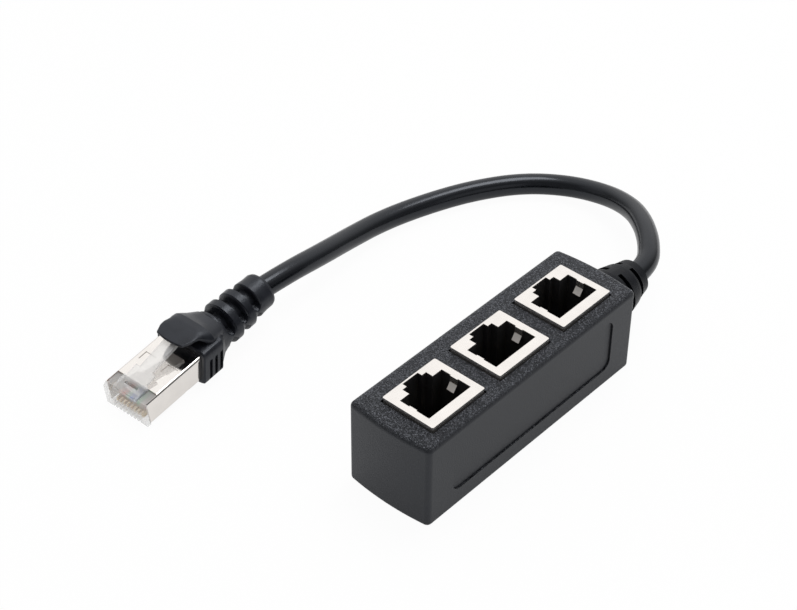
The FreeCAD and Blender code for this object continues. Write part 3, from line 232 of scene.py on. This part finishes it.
class Finish:
    """A material with its shader and short calls for the nodes that feed it."""

    def __init__(self, name, colour, roughness, **sockets):
        self.material = bpy.data.materials.new(name)
        self.material.use_nodes = True
        self.nodes = self.material.node_tree.nodes
        self.links = self.material.node_tree.links
        self.shader = self.nodes["Principled BSDF"]
        self.shader.inputs["Base Color"].default_value = (*colour, 1.0)
        self.shader.inputs["Roughness"].default_value = roughness
        for socket, value in sockets.items():
            self.shader.inputs[socket.replace("_", " ")].default_value = value
        coordinates = self.nodes.new("ShaderNodeTexCoord")
        self.place = coordinates.outputs["Object"]

    def stretched(self, scale):
        """Object coordinates scaled along each axis."""
        mapping = self.nodes.new("ShaderNodeMapping")
        mapping.inputs["Scale"].default_value = scale
        self.links.new(self.place, mapping.inputs["Vector"])
        return mapping.outputs["Vector"]

    def noise(self, size, detail=2.0, vector=None):
        """Noise whose lumps are about the given size in metres."""
        node = self.nodes.new("ShaderNodeTexNoise")
        node.inputs["Scale"].default_value = 1.0 / size
        node.inputs["Detail"].default_value = detail
        self.links.new(vector or self.place, node.inputs["Vector"])
        return node.outputs["Fac"]

    def glint_flecks(self, size):
        """Random shade of scattered grains of the given size, which picks the flecks of painted
        glint.
        """
        node = self.nodes.new("ShaderNodeTexVoronoi")
        node.inputs["Scale"].default_value = 1.0 / size
        self.links.new(self.place, node.inputs["Vector"])
        split = self.nodes.new("ShaderNodeSeparateXYZ")
        self.links.new(node.outputs["Color"], split.inputs["Vector"])
        return split.outputs["X"]

    def spread(self, factor, low, high, start=0.3, end=0.7):
        """Map a factor from start..end to low..high."""
        node = self.nodes.new("ShaderNodeMapRange")
        node.inputs["From Min"].default_value = start
        node.inputs["From Max"].default_value = end
        node.inputs["To Min"].default_value = low
        node.inputs["To Max"].default_value = high
        self.links.new(factor, node.inputs["Value"])
        return node.outputs["Result"]

    def roughen(self, factor):
        self.links.new(factor, self.shader.inputs["Roughness"])

    def tint(self, factor, low, high, start=0.3, end=0.7):
        """Colour that runs from low to high with a factor."""
        ramp = self.nodes.new("ShaderNodeValToRGB")
        ramp.color_ramp.elements[0].position = start
        ramp.color_ramp.elements[0].color = (*low, 1.0)
        ramp.color_ramp.elements[1].position = end
        ramp.color_ramp.elements[1].color = (*high, 1.0)
        self.links.new(factor, ramp.inputs["Fac"])
        self.links.new(ramp.outputs["Color"], self.shader.inputs["Base Color"])

    def bump(self, height, depth, strength=1.0):
        """Relief of the given depth in metres."""
        node = self.nodes.new("ShaderNodeBump")
        node.inputs["Distance"].default_value = depth
        node.inputs["Strength"].default_value = strength
        self.links.new(height, node.inputs["Height"])
        self.links.new(node.outputs["Normal"], self.shader.inputs["Normal"])

    def times(self, first, second):
        node = self.nodes.new("ShaderNodeMath")
        node.operation = "MULTIPLY"
        self.links.new(first, node.inputs[0])
        self.links.new(second, node.inputs[1])
        return node.outputs["Value"]

    def upward(self):
        """How far the surface looks up, from nothing when upright to one when level."""
        geometry = self.nodes.new("ShaderNodeNewGeometry")
        split = self.nodes.new("ShaderNodeSeparateXYZ")
        self.links.new(geometry.outputs["Normal"], split.inputs["Vector"])
        return split.outputs["Z"]

    def facing_up(self):
        """One on faces that look up, nothing on upright ones."""
        return self.spread(self.upward(), 0.0, 1.0, 0.35, 0.9)

    def unbent(self):
        """One on level faces, nearly one on upright ones and little on the slopes between them."""
        upright, slope = 0.86, 0.15
        node = self.nodes.new("ShaderNodeValToRGB")
        node.color_ramp.elements[0].color = (upright, upright, upright, 1.0)
        for spot, level in ((0.08, upright), (0.12, slope), (0.88, slope)):
            node.color_ramp.elements.new(spot).color = (level, level, level, 1.0)
        self.links.new(self.upward(), node.inputs["Fac"])
        return node.outputs["Color"]


def lighter(colour, share):
    return tuple(min(1.0, value * (1.0 + share)) for value in colour)


def moulded_plastic(name, colour, grain):
    """Black moulded plastic: sparkling grain on the top face, its sparkle a painted highlight of
    bright flecks in the colour, and smooth satin sides.
    """
    finish = Finish(name, colour, 0.42, Specular_IOR_Level=0.5, Specular_Tint=COOL)
    top = finish.facing_up()
    grains = finish.noise(grain, 3.0)
    # Painted highlight: bright flecks in the colour stand in for the grain's sparkle, and are
    # strongest on faces that look up
    glint_flecks = finish.times(finish.glint_flecks(grain * 0.62), finish.spread(top, 0.3, 1.0, 0.0, 1.0))
    finish.tint(glint_flecks, lighter(colour, -0.3), PAINTED_GLINT, 0.6, 1.0)
    finish.roughen(finish.spread(top, 0.46, 0.34, 0.0, 1.0))
    finish.bump(finish.times(grains, finish.spread(top, 0.1, 1.0, 0.0, 1.0)), grain * 1.6)
    return finish.material


def vinyl(name, colour, roughness, grain, shine=0.32):
    """Soft moulded vinyl with a faint uneven skin."""
    finish = Finish(name, colour, roughness, Specular_IOR_Level=shine, Specular_Tint=COOL)
    skin = finish.noise(grain, 4.0)
    patches = finish.noise(0.004, 3.0)
    finish.tint(patches, lighter(colour, -0.2), lighter(colour, 0.5))
    finish.roughen(finish.spread(patches, roughness - 0.06, roughness + 0.08))
    finish.bump(skin, grain * 0.12)
    return finish.material


def jacket_vinyl(name, colour):
    """Smooth glossy vinyl of the cable."""
    finish = Finish(name, colour, 0.2, Specular_IOR_Level=0.42, Specular_Tint=COOL)
    skin = finish.noise(0.0012, 3.0)
    finish.roughen(finish.spread(skin, 0.17, 0.23))
    finish.tint(finish.noise(0.006, 2.0), lighter(colour, -0.2), lighter(colour, 0.4))
    finish.bump(skin, 0.000007)
    return finish.material


def plated(name, colour, roughness, ripple=0.000003, satin_slopes=False):
    """Plated sheet: bright, with faint drawing lines and shallow waves, and satin on its slopes."""
    finish = Finish(name, colour, roughness, Metallic=1.0)
    waves = finish.noise(0.003, 2.0)
    lines = finish.noise(0.0004, 3.0, finish.stretched((1.0, 0.12, 0.12)))
    finish.tint(waves, lighter(colour, -0.03), lighter(colour, 0.02))
    finish.roughen(finish.spread(lines, roughness * 0.8, roughness * 1.3))
    finish.bump(waves, ripple)
    if satin_slopes:
        finish.links.new(finish.unbent(), finish.shader.inputs["Metallic"])
    return finish.material


def clear_plastic(name, colour, density):
    """Clear moulding: faintly milky, with bright glossy faces."""
    finish = Finish(name, colour, 0.06, Alpha=density, Specular_IOR_Level=1.0)
    flow = finish.noise(0.0012, 2.0)
    finish.roughen(finish.spread(flow, 0.03, 0.12))
    finish.bump(flow, 0.00001)
    return finish.material


def insulation(name, colour):
    """Skin of one conductor."""
    finish = Finish(name, colour, 0.4)
    skin = finish.noise(0.0008, 2.0)
    finish.tint(skin, lighter(colour, -0.12), lighter(colour, 0.1))
    finish.bump(skin, 0.00001)
    return finish.material


def dress(material, slot, *nodes):
    """Give CAD nodes one material."""
    for node in nodes:
        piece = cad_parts[node]
        piece.data.materials.clear()
        piece.data.materials.append(material)


# Mesh helpers


def add_piece(name, mesh, material):
    piece = bpy.data.objects.new(name, mesh)
    bpy.context.scene.collection.objects.link(piece)
    mesh.materials.append(material)
    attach(piece, "root")
    return piece


def ramp_value(place, spots):
    """Value at a place on a line of (place, value) spots that is level beyond its ends."""
    if place <= spots[0][0]:
        return spots[0][1]
    for (low, start), (high, end) in zip(spots, spots[1:]):
        if place <= high:
            return start + (end - start) * (place - low) / (high - low)
    return spots[-1][1]


def eased(value):
    value = min(1.0, max(0.0, value))
    return value * value * (3.0 - 2.0 * value)


class BootForm:
    """The moulded boot: across, along from the nose and over the cable's axis, in millimetres."""

    COLUMNS = 120
    ROUND = 2.0
    SHARP = 19.0

    # Collar, with the seat that takes the shield
    COLLAR_FRONT = 15.4
    COLLAR_REAR = 20.9
    COLLAR_LEAN = 1.6
    COLLAR_HALF = 6.95
    COLLAR_TOP = 4.4
    COLLAR_LOW = -3.55
    COLLAR_POWER = 10.0
    EDGE = 0.28
    SEAT_HALF = 5.92
    SEAT_TOP = 3.36
    SEAT_LOW = -2.66
    SEAT_DEPTH = 2.2
    SEAT_POWER = 14.0

    # Taper behind the collar: distance, half width, top, low, power and share of the lean
    REAR_EDGE = 0.25
    REAR_POWER = 8.0
    TAPER = ((1.5, 5.95, 4.3, -3.6, 4.5, 0.75), (3.0, 5.15, 4.55, -4.2, 2.8, 0.35))

    # Grip slots in the collar's sides
    GRIP_COUNT = 3
    GRIP_FIRST = 1.9
    GRIP_PITCH = 1.55
    GRIP_HALF = 0.36
    GRIP_DEPTH = 0.55
    GRIP_LOW = -2.95
    GRIP_TOP = 1.85
    GRIP_WALL = 0.04
    GRIP_SHOULDER = 0.3

    # Round relief with rows of slots
    NECK = 25.4
    NECK_RADIUS = 4.88
    TIP_RADIUS = 4.1
    SLOT_ROWS = 3
    SLOT_FIRST = 27.2
    SLOT_PITCH = 4.12
    SLOT_HALF = 1.0
    SLOT_CORE = 2.62
    SLOT_FULL = 72.0
    SLOT_CLOSED = 87.0
    SLOT_SHUT_HALF = 0.25
    SLOT_LIP = 0.2
    SLOT_WALL = 0.1
    SLOT_ROUNDING = 0.12
    RING_CROWN = 0.16
    RING_FLAT = 0.8
    END_RING = 38.4
    END_ROUNDING = ((-0.9, 0.0), (-0.35, -0.2), (0.0, -0.7))
    BORE = 2.4

    # Hood over the latch: its sections, and along it half width, power and three heights
    HOOD_COLUMNS = 28
    HOOD_BOW = 0.45
    HOOD_BOW_LENGTH = 3.0
    HOOD_PLATE = 0.48
    HOOD_EDGE = 0.16
    HOOD_STATIONS = (
        14.3, 14.45, 15.3, 16.2, 17.0, 17.7, 18.3, 18.8,
        19.2, 19.6, 20.0, 20.5, 21.2, 22.2, 23.4, 25.4,
    )
    HOOD_HALF = (
        (14.3, 3.55), (16.2, 4.4), (18.3, 4.65), (19.2, 5.0),
        (20.2, 5.7), (21.2, 5.95), (22.4, 5.6), (25.4, 4.1),
    )
    HOOD_POWER = ((17.0, 9.0), (19.6, 5.0), (21.2, 3.6), (25.4, 2.4))
    HOOD_MIDDLE = (
        (14.3, 7.42), (17.0, 7.42), (19.6, 7.25),
        (21.2, 6.92), (23.4, 5.5), (25.4, 4.76),
    )
    HOOD_SIDE = (
        (14.3, 7.32), (17.4, 7.26), (18.3, 6.75), (19.2, 5.75),
        (20.0, 4.75), (20.5, 4.3), (25.4, 2.8),
    )
    HOOD_UNDER = (
        (14.3, 6.82), (17.4, 6.8), (18.5, 6.3), (19.3, 5.4),
        (19.6, 4.5), (19.8, 2.6), (25.4, 1.5),
    )

    def __init__(self):
        self.form = bmesh.new()

    def put(self, points):
        return [self.form.verts.new(PLUG_FRAME @ Vector(point) * MM) for point in points]

    def skin(self, first, second):
        count = len(first)
        for i in range(count):
            j = (i + 1) % count
            self.form.faces.new((first[i], first[j], second[j], second[i]))

    def angles(self):
        return [2.0 * math.pi * i / self.COLUMNS for i in range(self.COLUMNS)]

    def section(self, along, half, top, low, power, lean=0.0, dent=0.0):
        """Outline between a rectangle and a circle, its grip slots pressed in by dent."""
        points = []
        for angle in self.angles():
            across, up = math.cos(angle), math.sin(angle)
            height = top if up > 0 else -low
            reach = (abs(across / half) ** power + abs(up / height) ** power) ** (-1.0 / power)
            x, z = across * reach, up * reach
            if dent and abs(x) > half - self.GRIP_SHOULDER and self.GRIP_LOW < z < self.GRIP_TOP:
                x = math.copysign(half - dent, x)
            points.append((x, along + lean * (z - low) / (top - low), z))
        return self.put(points)

    def slotted(self, along, radius, side, depth_share):
        """Round outline at one edge of a row of slots; side is the way from the row's middle."""
        points = []
        for angle in self.angles():
            turn = math.degrees(angle) % 180.0
            from_top = abs(turn - 90.0)
            opened = eased((self.SLOT_CLOSED - from_top) / (self.SLOT_CLOSED - self.SLOT_FULL))
            reach = radius - (radius - self.SLOT_CORE) * depth_share * opened
            half = self.SLOT_SHUT_HALF + (self.SLOT_HALF - self.SLOT_SHUT_HALF) * opened
            y = along + side * half
            points.append((math.cos(angle) * reach, y, math.sin(angle) * reach))
        return self.put(points)

    def collar_rings(self):
        collar = (self.COLLAR_HALF, self.COLLAR_TOP, self.COLLAR_LOW)
        seat = (self.SEAT_HALF, self.SEAT_TOP, self.SEAT_LOW, self.SEAT_POWER)
        power, lean = self.COLLAR_POWER, self.COLLAR_LEAN
        front = self.COLLAR_FRONT
        inset = tuple(value - math.copysign(self.EDGE, value) for value in collar)
        rings = [
            self.section(front + self.SEAT_DEPTH, *seat, lean),
            self.section(front, *seat, lean),
            self.section(front, *inset, power, lean),
            self.section(front + self.EDGE, *collar, power, lean),
        ]
        for grip in range(self.GRIP_COUNT):
            middle = front + self.GRIP_FIRST + self.GRIP_PITCH * grip
            for side, wall, dent in (
                (-1, -1, 0.0),
                (-1, 1, self.GRIP_DEPTH),
                (1, -1, self.GRIP_DEPTH),
                (1, 1, 0.0),
            ):
                along = middle + side * self.GRIP_HALF + wall * self.GRIP_WALL
                rings.append(self.section(along, *collar, power, lean, dent))
        rear = self.COLLAR_REAR
        rings.append(self.section(rear, *collar, power, lean))
        rings.append(self.section(rear + self.REAR_EDGE, *inset, self.REAR_POWER, lean))
        for behind, half, top, low, roundness, share in self.TAPER:
            rings.append(self.section(rear + behind, half, top, low, roundness, lean * share))
        return rings

    def circle(self, along, radius):
        return self.section(along, radius, radius, -radius, self.ROUND)

    def relief_rings(self):
        rings = [self.circle(self.NECK, self.NECK_RADIUS)]
        radius_along = ((self.NECK, self.NECK_RADIUS), (self.END_RING, self.TIP_RADIUS))
        for row in range(self.SLOT_ROWS):
            middle = self.SLOT_FIRST + self.SLOT_PITCH * row
            radius = ramp_value(middle, radius_along)
            for side, shift, depth_share in (
                (-1, -self.SLOT_LIP, 0.0),
                (-1, 0.0, self.SLOT_ROUNDING),
                (-1, self.SLOT_WALL, 1.0),
                (1, -self.SLOT_WALL, 1.0),
                (1, 0.0, self.SLOT_ROUNDING),
                (1, self.SLOT_LIP, 0.0),
            ):
                rings.append(self.slotted(middle + shift, radius, side, depth_share))
            if row < self.SLOT_ROWS - 1:
                for side in (-1, 1):
                    along = middle + self.SLOT_PITCH / 2 + side * self.RING_FLAT
                    rings.append(self.circle(along, radius + self.RING_CROWN))
        rings.append(self.circle(self.END_RING, self.TIP_RADIUS))
        for shift, growth in self.END_ROUNDING:
            rings.append(self.circle(BOOT_END + shift, self.TIP_RADIUS + growth))
        rings.append(self.circle(BOOT_END, self.BORE))
        return rings

    def hood(self):
        count = self.HOOD_COLUMNS
        shares = [-math.cos(math.pi * i / count) for i in range(count + 1)]
        tops = []
        unders = []
        for along in self.HOOD_STATIONS:
            half = ramp_value(along, self.HOOD_HALF)
            middle = ramp_value(along, self.HOOD_MIDDLE)
            side = ramp_value(along, self.HOOD_SIDE)
            under = ramp_value(along, self.HOOD_UNDER)
            power = ramp_value(along, self.HOOD_POWER)
            edge = self.HOOD_EDGE if along == self.HOOD_STATIONS[0] else 0.0
            fade = max(0.0, 1.0 - (along - self.HOOD_STATIONS[0]) / self.HOOD_BOW_LENGTH)
            upper = []
            lower = []
            for share in shares:
                y = along - self.HOOD_BOW * (1.0 - share * share) * fade
                top = side + (middle - side) * (1.0 - abs(share) ** power) ** 0.5 - edge
                upper.append((share * half, y, top))
                lower.append((share * half, y, min(under, top - self.HOOD_PLATE) + edge))
            tops.append(self.put(upper))
            unders.append(self.put(lower))
        for top, under, next_top, next_under in zip(tops, unders, tops[1:], unders[1:]):
            for j in range(count):
                self.form.faces.new((top[j], top[j + 1], next_top[j + 1], next_top[j]))
                self.form.faces.new((under[j], next_under[j], next_under[j + 1], under[j + 1]))
            for j in (0, count):
                self.form.faces.new((top[j], next_top[j], next_under[j], under[j]))
        for top, under in ((tops[0], unders[0]), (tops[-1], unders[-1])):
            for j in range(count):
                self.form.faces.new((top[j], under[j], under[j + 1], top[j + 1]))

    def mesh(self, name):
        rings = self.collar_rings() + self.relief_rings()
        for first, second in zip(rings, rings[1:]):
            self.skin(first, second)
        self.form.faces.new(rings[0])
        self.form.faces.new(rings[-1])
        self.hood()
        bmesh.ops.recalc_face_normals(self.form, faces=self.form.faces)
        mesh = bpy.data.meshes.new(name)
        self.form.to_mesh(mesh)
        self.form.free()
        smooth(mesh, self.SHARP)
        return mesh


def smooth(mesh, degrees):
    """Smooth shading with sharp edges above an angle."""
    for polygon in mesh.polygons:
        polygon.use_smooth = True
    mesh.set_sharp_from_angle(angle=math.radians(degrees))


# Operators


class SPLITTER_OT_stage(bpy.types.Operator):
    """Camera at the photograph's viewpoint, pale floor and soft light"""

    bl_idname = "splitter.stage"
    bl_label = "Stage"

    def execute(self, context):
        settings = context.scene.splitter_stage
        self.add_camera(context)
        self.add_floor(settings)
        self.add_world(context)
        self.add_lamps(settings)
        context.scene.view_settings.view_transform = "Standard"
        return {"FINISHED"}

    def add_camera(self, context):
        back = Vector((
            math.sin(CAMERA_AZIMUTH) * math.cos(CAMERA_ELEVATION),
            -math.cos(CAMERA_AZIMUTH) * math.cos(CAMERA_ELEVATION),
            math.sin(CAMERA_ELEVATION),
        ))
        level = Vector((math.cos(CAMERA_AZIMUTH), math.sin(CAMERA_AZIMUTH), 0.0))
        over = back.cross(level)
        right = level * math.cos(CAMERA_ROLL) + over * math.sin(CAMERA_ROLL)
        above = over * math.cos(CAMERA_ROLL) - level * math.sin(CAMERA_ROLL)
        turn = Matrix((right, above, back)).transposed().to_4x4()
        data = bpy.data.cameras.new("camera")
        data.sensor_width = CAMERA_SENSOR
        data.lens = CAMERA_LENS
        data.clip_start = 0.01
        data.clip_end = 20.0
        camera = bpy.data.objects.new("camera", data)
        camera.matrix_world = Matrix.Translation(CAMERA_PLACE * MM) @ turn
        context.scene.collection.objects.link(camera)
        context.scene.camera = camera

    def add_floor(self, settings):
        mesh = bpy.data.meshes.new("floor")
        form = bmesh.new()
        bmesh.ops.create_grid(form, x_segments=2, y_segments=2, size=settings.floor_size / 2)
        form.to_mesh(mesh)
        form.free()
        floor = bpy.data.objects.new("floor", mesh)
        floor.location.z = FLOOR_LEVEL
        bpy.context.scene.collection.objects.link(floor)
        finish = Finish("floor_paper", (0.93, 0.93, 0.93), 0.9)
        ways = finish.nodes.new("ShaderNodeLightPath")
        glow = finish.nodes.new("ShaderNodeEmission")
        glow.inputs["Strength"].default_value = 1.0
        share = None
        for way, weight in FLOOR_GLOW.items():
            part = finish.nodes.new("ShaderNodeMath")
            part.operation = "MULTIPLY_ADD"
            part.inputs[1].default_value = weight
            part.inputs[2].default_value = 0.0
            finish.links.new(ways.outputs[way], part.inputs[0])
            if share:
                finish.links.new(share.outputs["Value"], part.inputs[2])
            share = part
        mix = finish.nodes.new("ShaderNodeMixShader")
        output = finish.nodes["Material Output"]
        finish.links.new(share.outputs["Value"], mix.inputs["Fac"])
        finish.links.new(finish.shader.outputs["BSDF"], mix.inputs[1])
        finish.links.new(glow.outputs["Emission"], mix.inputs[2])
        finish.links.new(mix.outputs["Shader"], output.inputs["Surface"])
        mesh.materials.append(finish.material)

    def add_world(self, context):
        world = bpy.data.worlds.new("studio")
        world.use_nodes = True
        context.scene.world = world
        nodes = world.node_tree.nodes
        links = world.node_tree.links
        direction = nodes.new("ShaderNodeTexCoord")
        towards = nodes.new("ShaderNodeVectorMath")
        towards.operation = "DOT_PRODUCT"
        towards.inputs[1].default_value = SKY_TOWARDS
        links.new(direction.outputs["Generated"], towards.inputs[0])
        level = nodes.new("ShaderNodeMapRange")
        level.interpolation_type = "SMOOTHSTEP"
        level.inputs["From Min"].default_value, level.inputs["From Max"].default_value = SKY_FADE
        level.inputs["To Min"].default_value, level.inputs["To Max"].default_value = SKY_LEVELS
        links.new(towards.outputs["Value"], level.inputs["Value"])
        sky = nodes["Background"]
        sky.inputs["Color"].default_value = (1.0, 1.0, 1.0, 1.0)
        links.new(level.outputs["Result"], sky.inputs["Strength"])
        backdrop = nodes.new("ShaderNodeBackground")
        backdrop.inputs["Color"].default_value = (1.0, 1.0, 1.0, 1.0)
        backdrop.inputs["Strength"].default_value = 1.0
        ways = nodes.new("ShaderNodeLightPath")
        mix = nodes.new("ShaderNodeMixShader")
        links.new(ways.outputs["Is Camera Ray"], mix.inputs["Fac"])
        links.new(sky.outputs["Background"], mix.inputs[1])
        links.new(backdrop.outputs["Background"], mix.inputs[2])
        links.new(mix.outputs["Shader"], nodes["World Output"].inputs["Surface"])

    def add_lamps(self, settings):
        for name, place, size, share in LAMPS:
            data = bpy.data.lights.new(name, "AREA")
            data.shape = "SQUARE"
            data.size = size
            data.energy = settings.key_power * share
            lamp = bpy.data.objects.new(name, data)
            lamp.location = place
            lamp.rotation_euler = (LAMP_TARGET - Vector(place)).to_track_quat("-Z", "Y").to_euler()
            bpy.context.scene.collection.objects.link(lamp)


class SPLITTER_OT_housing(bpy.types.Operator):
    """Moulded box, its base cover, and the circuit board and conductors inside"""

    bl_idname = "splitter.housing"
    bl_label = "Housing"

    def execute(self, context):
        settings = context.scene.splitter_housing
        fine_grain, coarse_grain = settings.grain, settings.grain * 2
        plastic = moulded_plastic("housing_plastic", settings.colour, fine_grain)
        dress(plastic, "housing_plastic", "housing")
        plastic = moulded_plastic("cover_plastic", settings.colour, coarse_grain)
        dress(plastic, "cover_plastic", "base_cover")
        board = Finish("board", (0.02, 0.12, 0.05), 0.3, Coat_Weight=0.6)
        weave = board.noise(0.0006, 3.0)
        board.tint(weave, (0.015, 0.10, 0.04), (0.03, 0.16, 0.06))
        dress(board.material, "board", "circuit_board")
        skin = insulation("conductor_insulation", (0.55, 0.52, 0.48))
        dress(skin, "conductor_insulation", "cable_conductors")
        return {"FINISHED"}


class SPLITTER_OT_sockets(bpy.types.Operator):
    """Shields, insulators and contacts of the three sockets, and the blades of the plug"""

    bl_idname = "splitter.sockets"
    bl_label = "Sockets"

    def execute(self, context):
        settings = context.scene.splitter_sockets
        nickel = plated("jack_metal", settings.metal, 0.14, satin_slopes=True)
        black = vinyl("insulator_plastic", (0.022, 0.022, 0.023), 0.35, 0.0004)
        gold = plated("contact_gold", settings.gold, 0.22, 0.000005)
        for jack in range(1, JACKS + 1):
            dress(nickel, "jack_metal", "jack_shield_%d" % jack)
            dress(black, "insulator_plastic", "jack_insulator_%d" % jack)
            for contact in range(1, CONTACTS + 1):
                dress(gold, "contact_gold", "jack_%d_contact_%d" % (jack, contact))
        for contact in range(1, CONTACTS + 1):
            dress(gold, "contact_gold", "plug_contact_%d" % contact)
        return {"FINISHED"}


class SPLITTER_OT_plug(bpy.types.Operator):
    """Shield, clear body and coloured conductors of the plug"""

    bl_idname = "splitter.plug"
    bl_label = "Plug"

    def execute(self, context):
        settings = context.scene.splitter_sockets
        dress(plated("plug_metal", settings.metal, 0.1), "plug_metal", "plug_shield")
        dress(clear_plastic("plug_clear", (0.98, 0.975, 0.97), 0.31), "plug_clear", "plug_body")
        for contact, (slot, colour) in enumerate(WIRE_COLOURS.items(), start=1):
            dress(insulation(slot, colour), slot, "plug_wire_%d" % contact)
        return {"FINISHED"}


class SPLITTER_OT_boot(bpy.types.Operator):
    """Boot of the plug and strain relief of the box"""

    bl_idname = "splitter.boot"
    bl_label = "Boot and strain relief"

    def execute(self, context):
        settings = context.scene.splitter_boot
        soft = vinyl("boot_vinyl", settings.colour, 0.32, 0.0003, 0.35)
        boot = add_piece("moulded_boot", BootForm().mesh("moulded_boot"), soft)
        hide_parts("plug_boot")
        relief = vinyl("relief_vinyl", lighter(settings.colour, -0.5), 0.36, 0.0003, 0.12)
        dress(relief, "relief_vinyl", "strain_relief")
        return {"FINISHED"}


class SPLITTER_OT_cable(bpy.types.Operator):
    """Round cable from the strain relief to the boot"""

    bl_idname = "splitter.cable"
    bl_label = "Cable"

    def execute(self, context):
        settings = context.scene.splitter_cable
        route = [Vector(point) for point in CABLE_ROUTE]
        boot_end = Vector((0.0, BOOT_END, 0.0))
        route.append(PLUG_FRAME @ (boot_end + BOOT_LEAD))
        route.append(PLUG_FRAME @ boot_end)
        line = bpy.data.curves.new("cable_jacket", "CURVE")
        line.dimensions = "3D"
        spline = line.splines.new("NURBS")
        spline.points.add(len(route) - 1)
        for point, place in zip(spline.points, route):
            point.co = (*(place * MM), 1.0)
        spline.order_u = 3
        spline.use_endpoint_u = True
        spline.resolution_u = 16
        line.bevel_depth = settings.diameter / 2
        line.bevel_resolution = 10
        line.use_fill_caps = True
        skin = jacket_vinyl("cable_vinyl", settings.colour)
        cable = add_piece("cable_jacket", line, skin)
        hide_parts("cable")
        plug_nodes = ["moulded_boot", "plug_shield", "plug_body"]
        plug_nodes += ["plug_contact_%d" % (contact + 1) for contact in range(CONTACTS)]
        plug_nodes += ["plug_wire_%d" % (contact + 1) for contact in range(CONTACTS)]
        return {"FINISHED"}


class SPLITTER_PT_panel(bpy.types.Panel):
    """Panel that lists the pieces and their settings"""

    bl_label = "Network splitter"
    bl_idname = "SPLITTER_PT_panel"
    bl_space_type = "VIEW_3D"
    bl_region_type = "UI"
    bl_category = "Splitter"

    def draw(self, context):
        layout = self.layout
        for operator, settings in STEPS:
            box = layout.box()
            box.operator(operator.bl_idname)
            if settings:
                group = getattr(context.scene, settings)
                for name in group.bl_rna.properties.keys():
                    if name not in ("rna_type", "name"):
                        box.prop(group, name)


SETTINGS = {
    "splitter_stage": StageSettings,
    "splitter_housing": HousingSettings,
    "splitter_sockets": SocketSettings,
    "splitter_cable": CableSettings,
    "splitter_boot": BootSettings,
}
STEPS = (
    (SPLITTER_OT_stage, "splitter_stage"),
    (SPLITTER_OT_housing, "splitter_housing"),
    (SPLITTER_OT_sockets, "splitter_sockets"),
    (SPLITTER_OT_boot, "splitter_boot"),
    (SPLITTER_OT_plug, None),
    (SPLITTER_OT_cable, "splitter_cable"),
)


def register():
    for group in SETTINGS.values():
        bpy.utils.register_class(group)
    for operator, _ in STEPS:
        bpy.utils.register_class(operator)
    bpy.utils.register_class(SPLITTER_PT_panel)
    for name, group in SETTINGS.items():
        setattr(bpy.types.Scene, name, PointerProperty(type=group))


def unregister():
    for name in SETTINGS:
        delattr(bpy.types.Scene, name)
    bpy.utils.unregister_class(SPLITTER_PT_panel)
    for operator, _ in reversed(STEPS):
        bpy.utils.unregister_class(operator)
    for group in reversed(list(SETTINGS.values())):
        bpy.utils.unregister_class(group)


def main():
    register()
    bpy.ops.splitter.stage()
    bpy.ops.splitter.housing()
    bpy.ops.splitter.sockets()
    bpy.ops.splitter.boot()
    bpy.ops.splitter.plug()
    bpy.ops.splitter.cable()


if __name__ == "__main__":
    main()
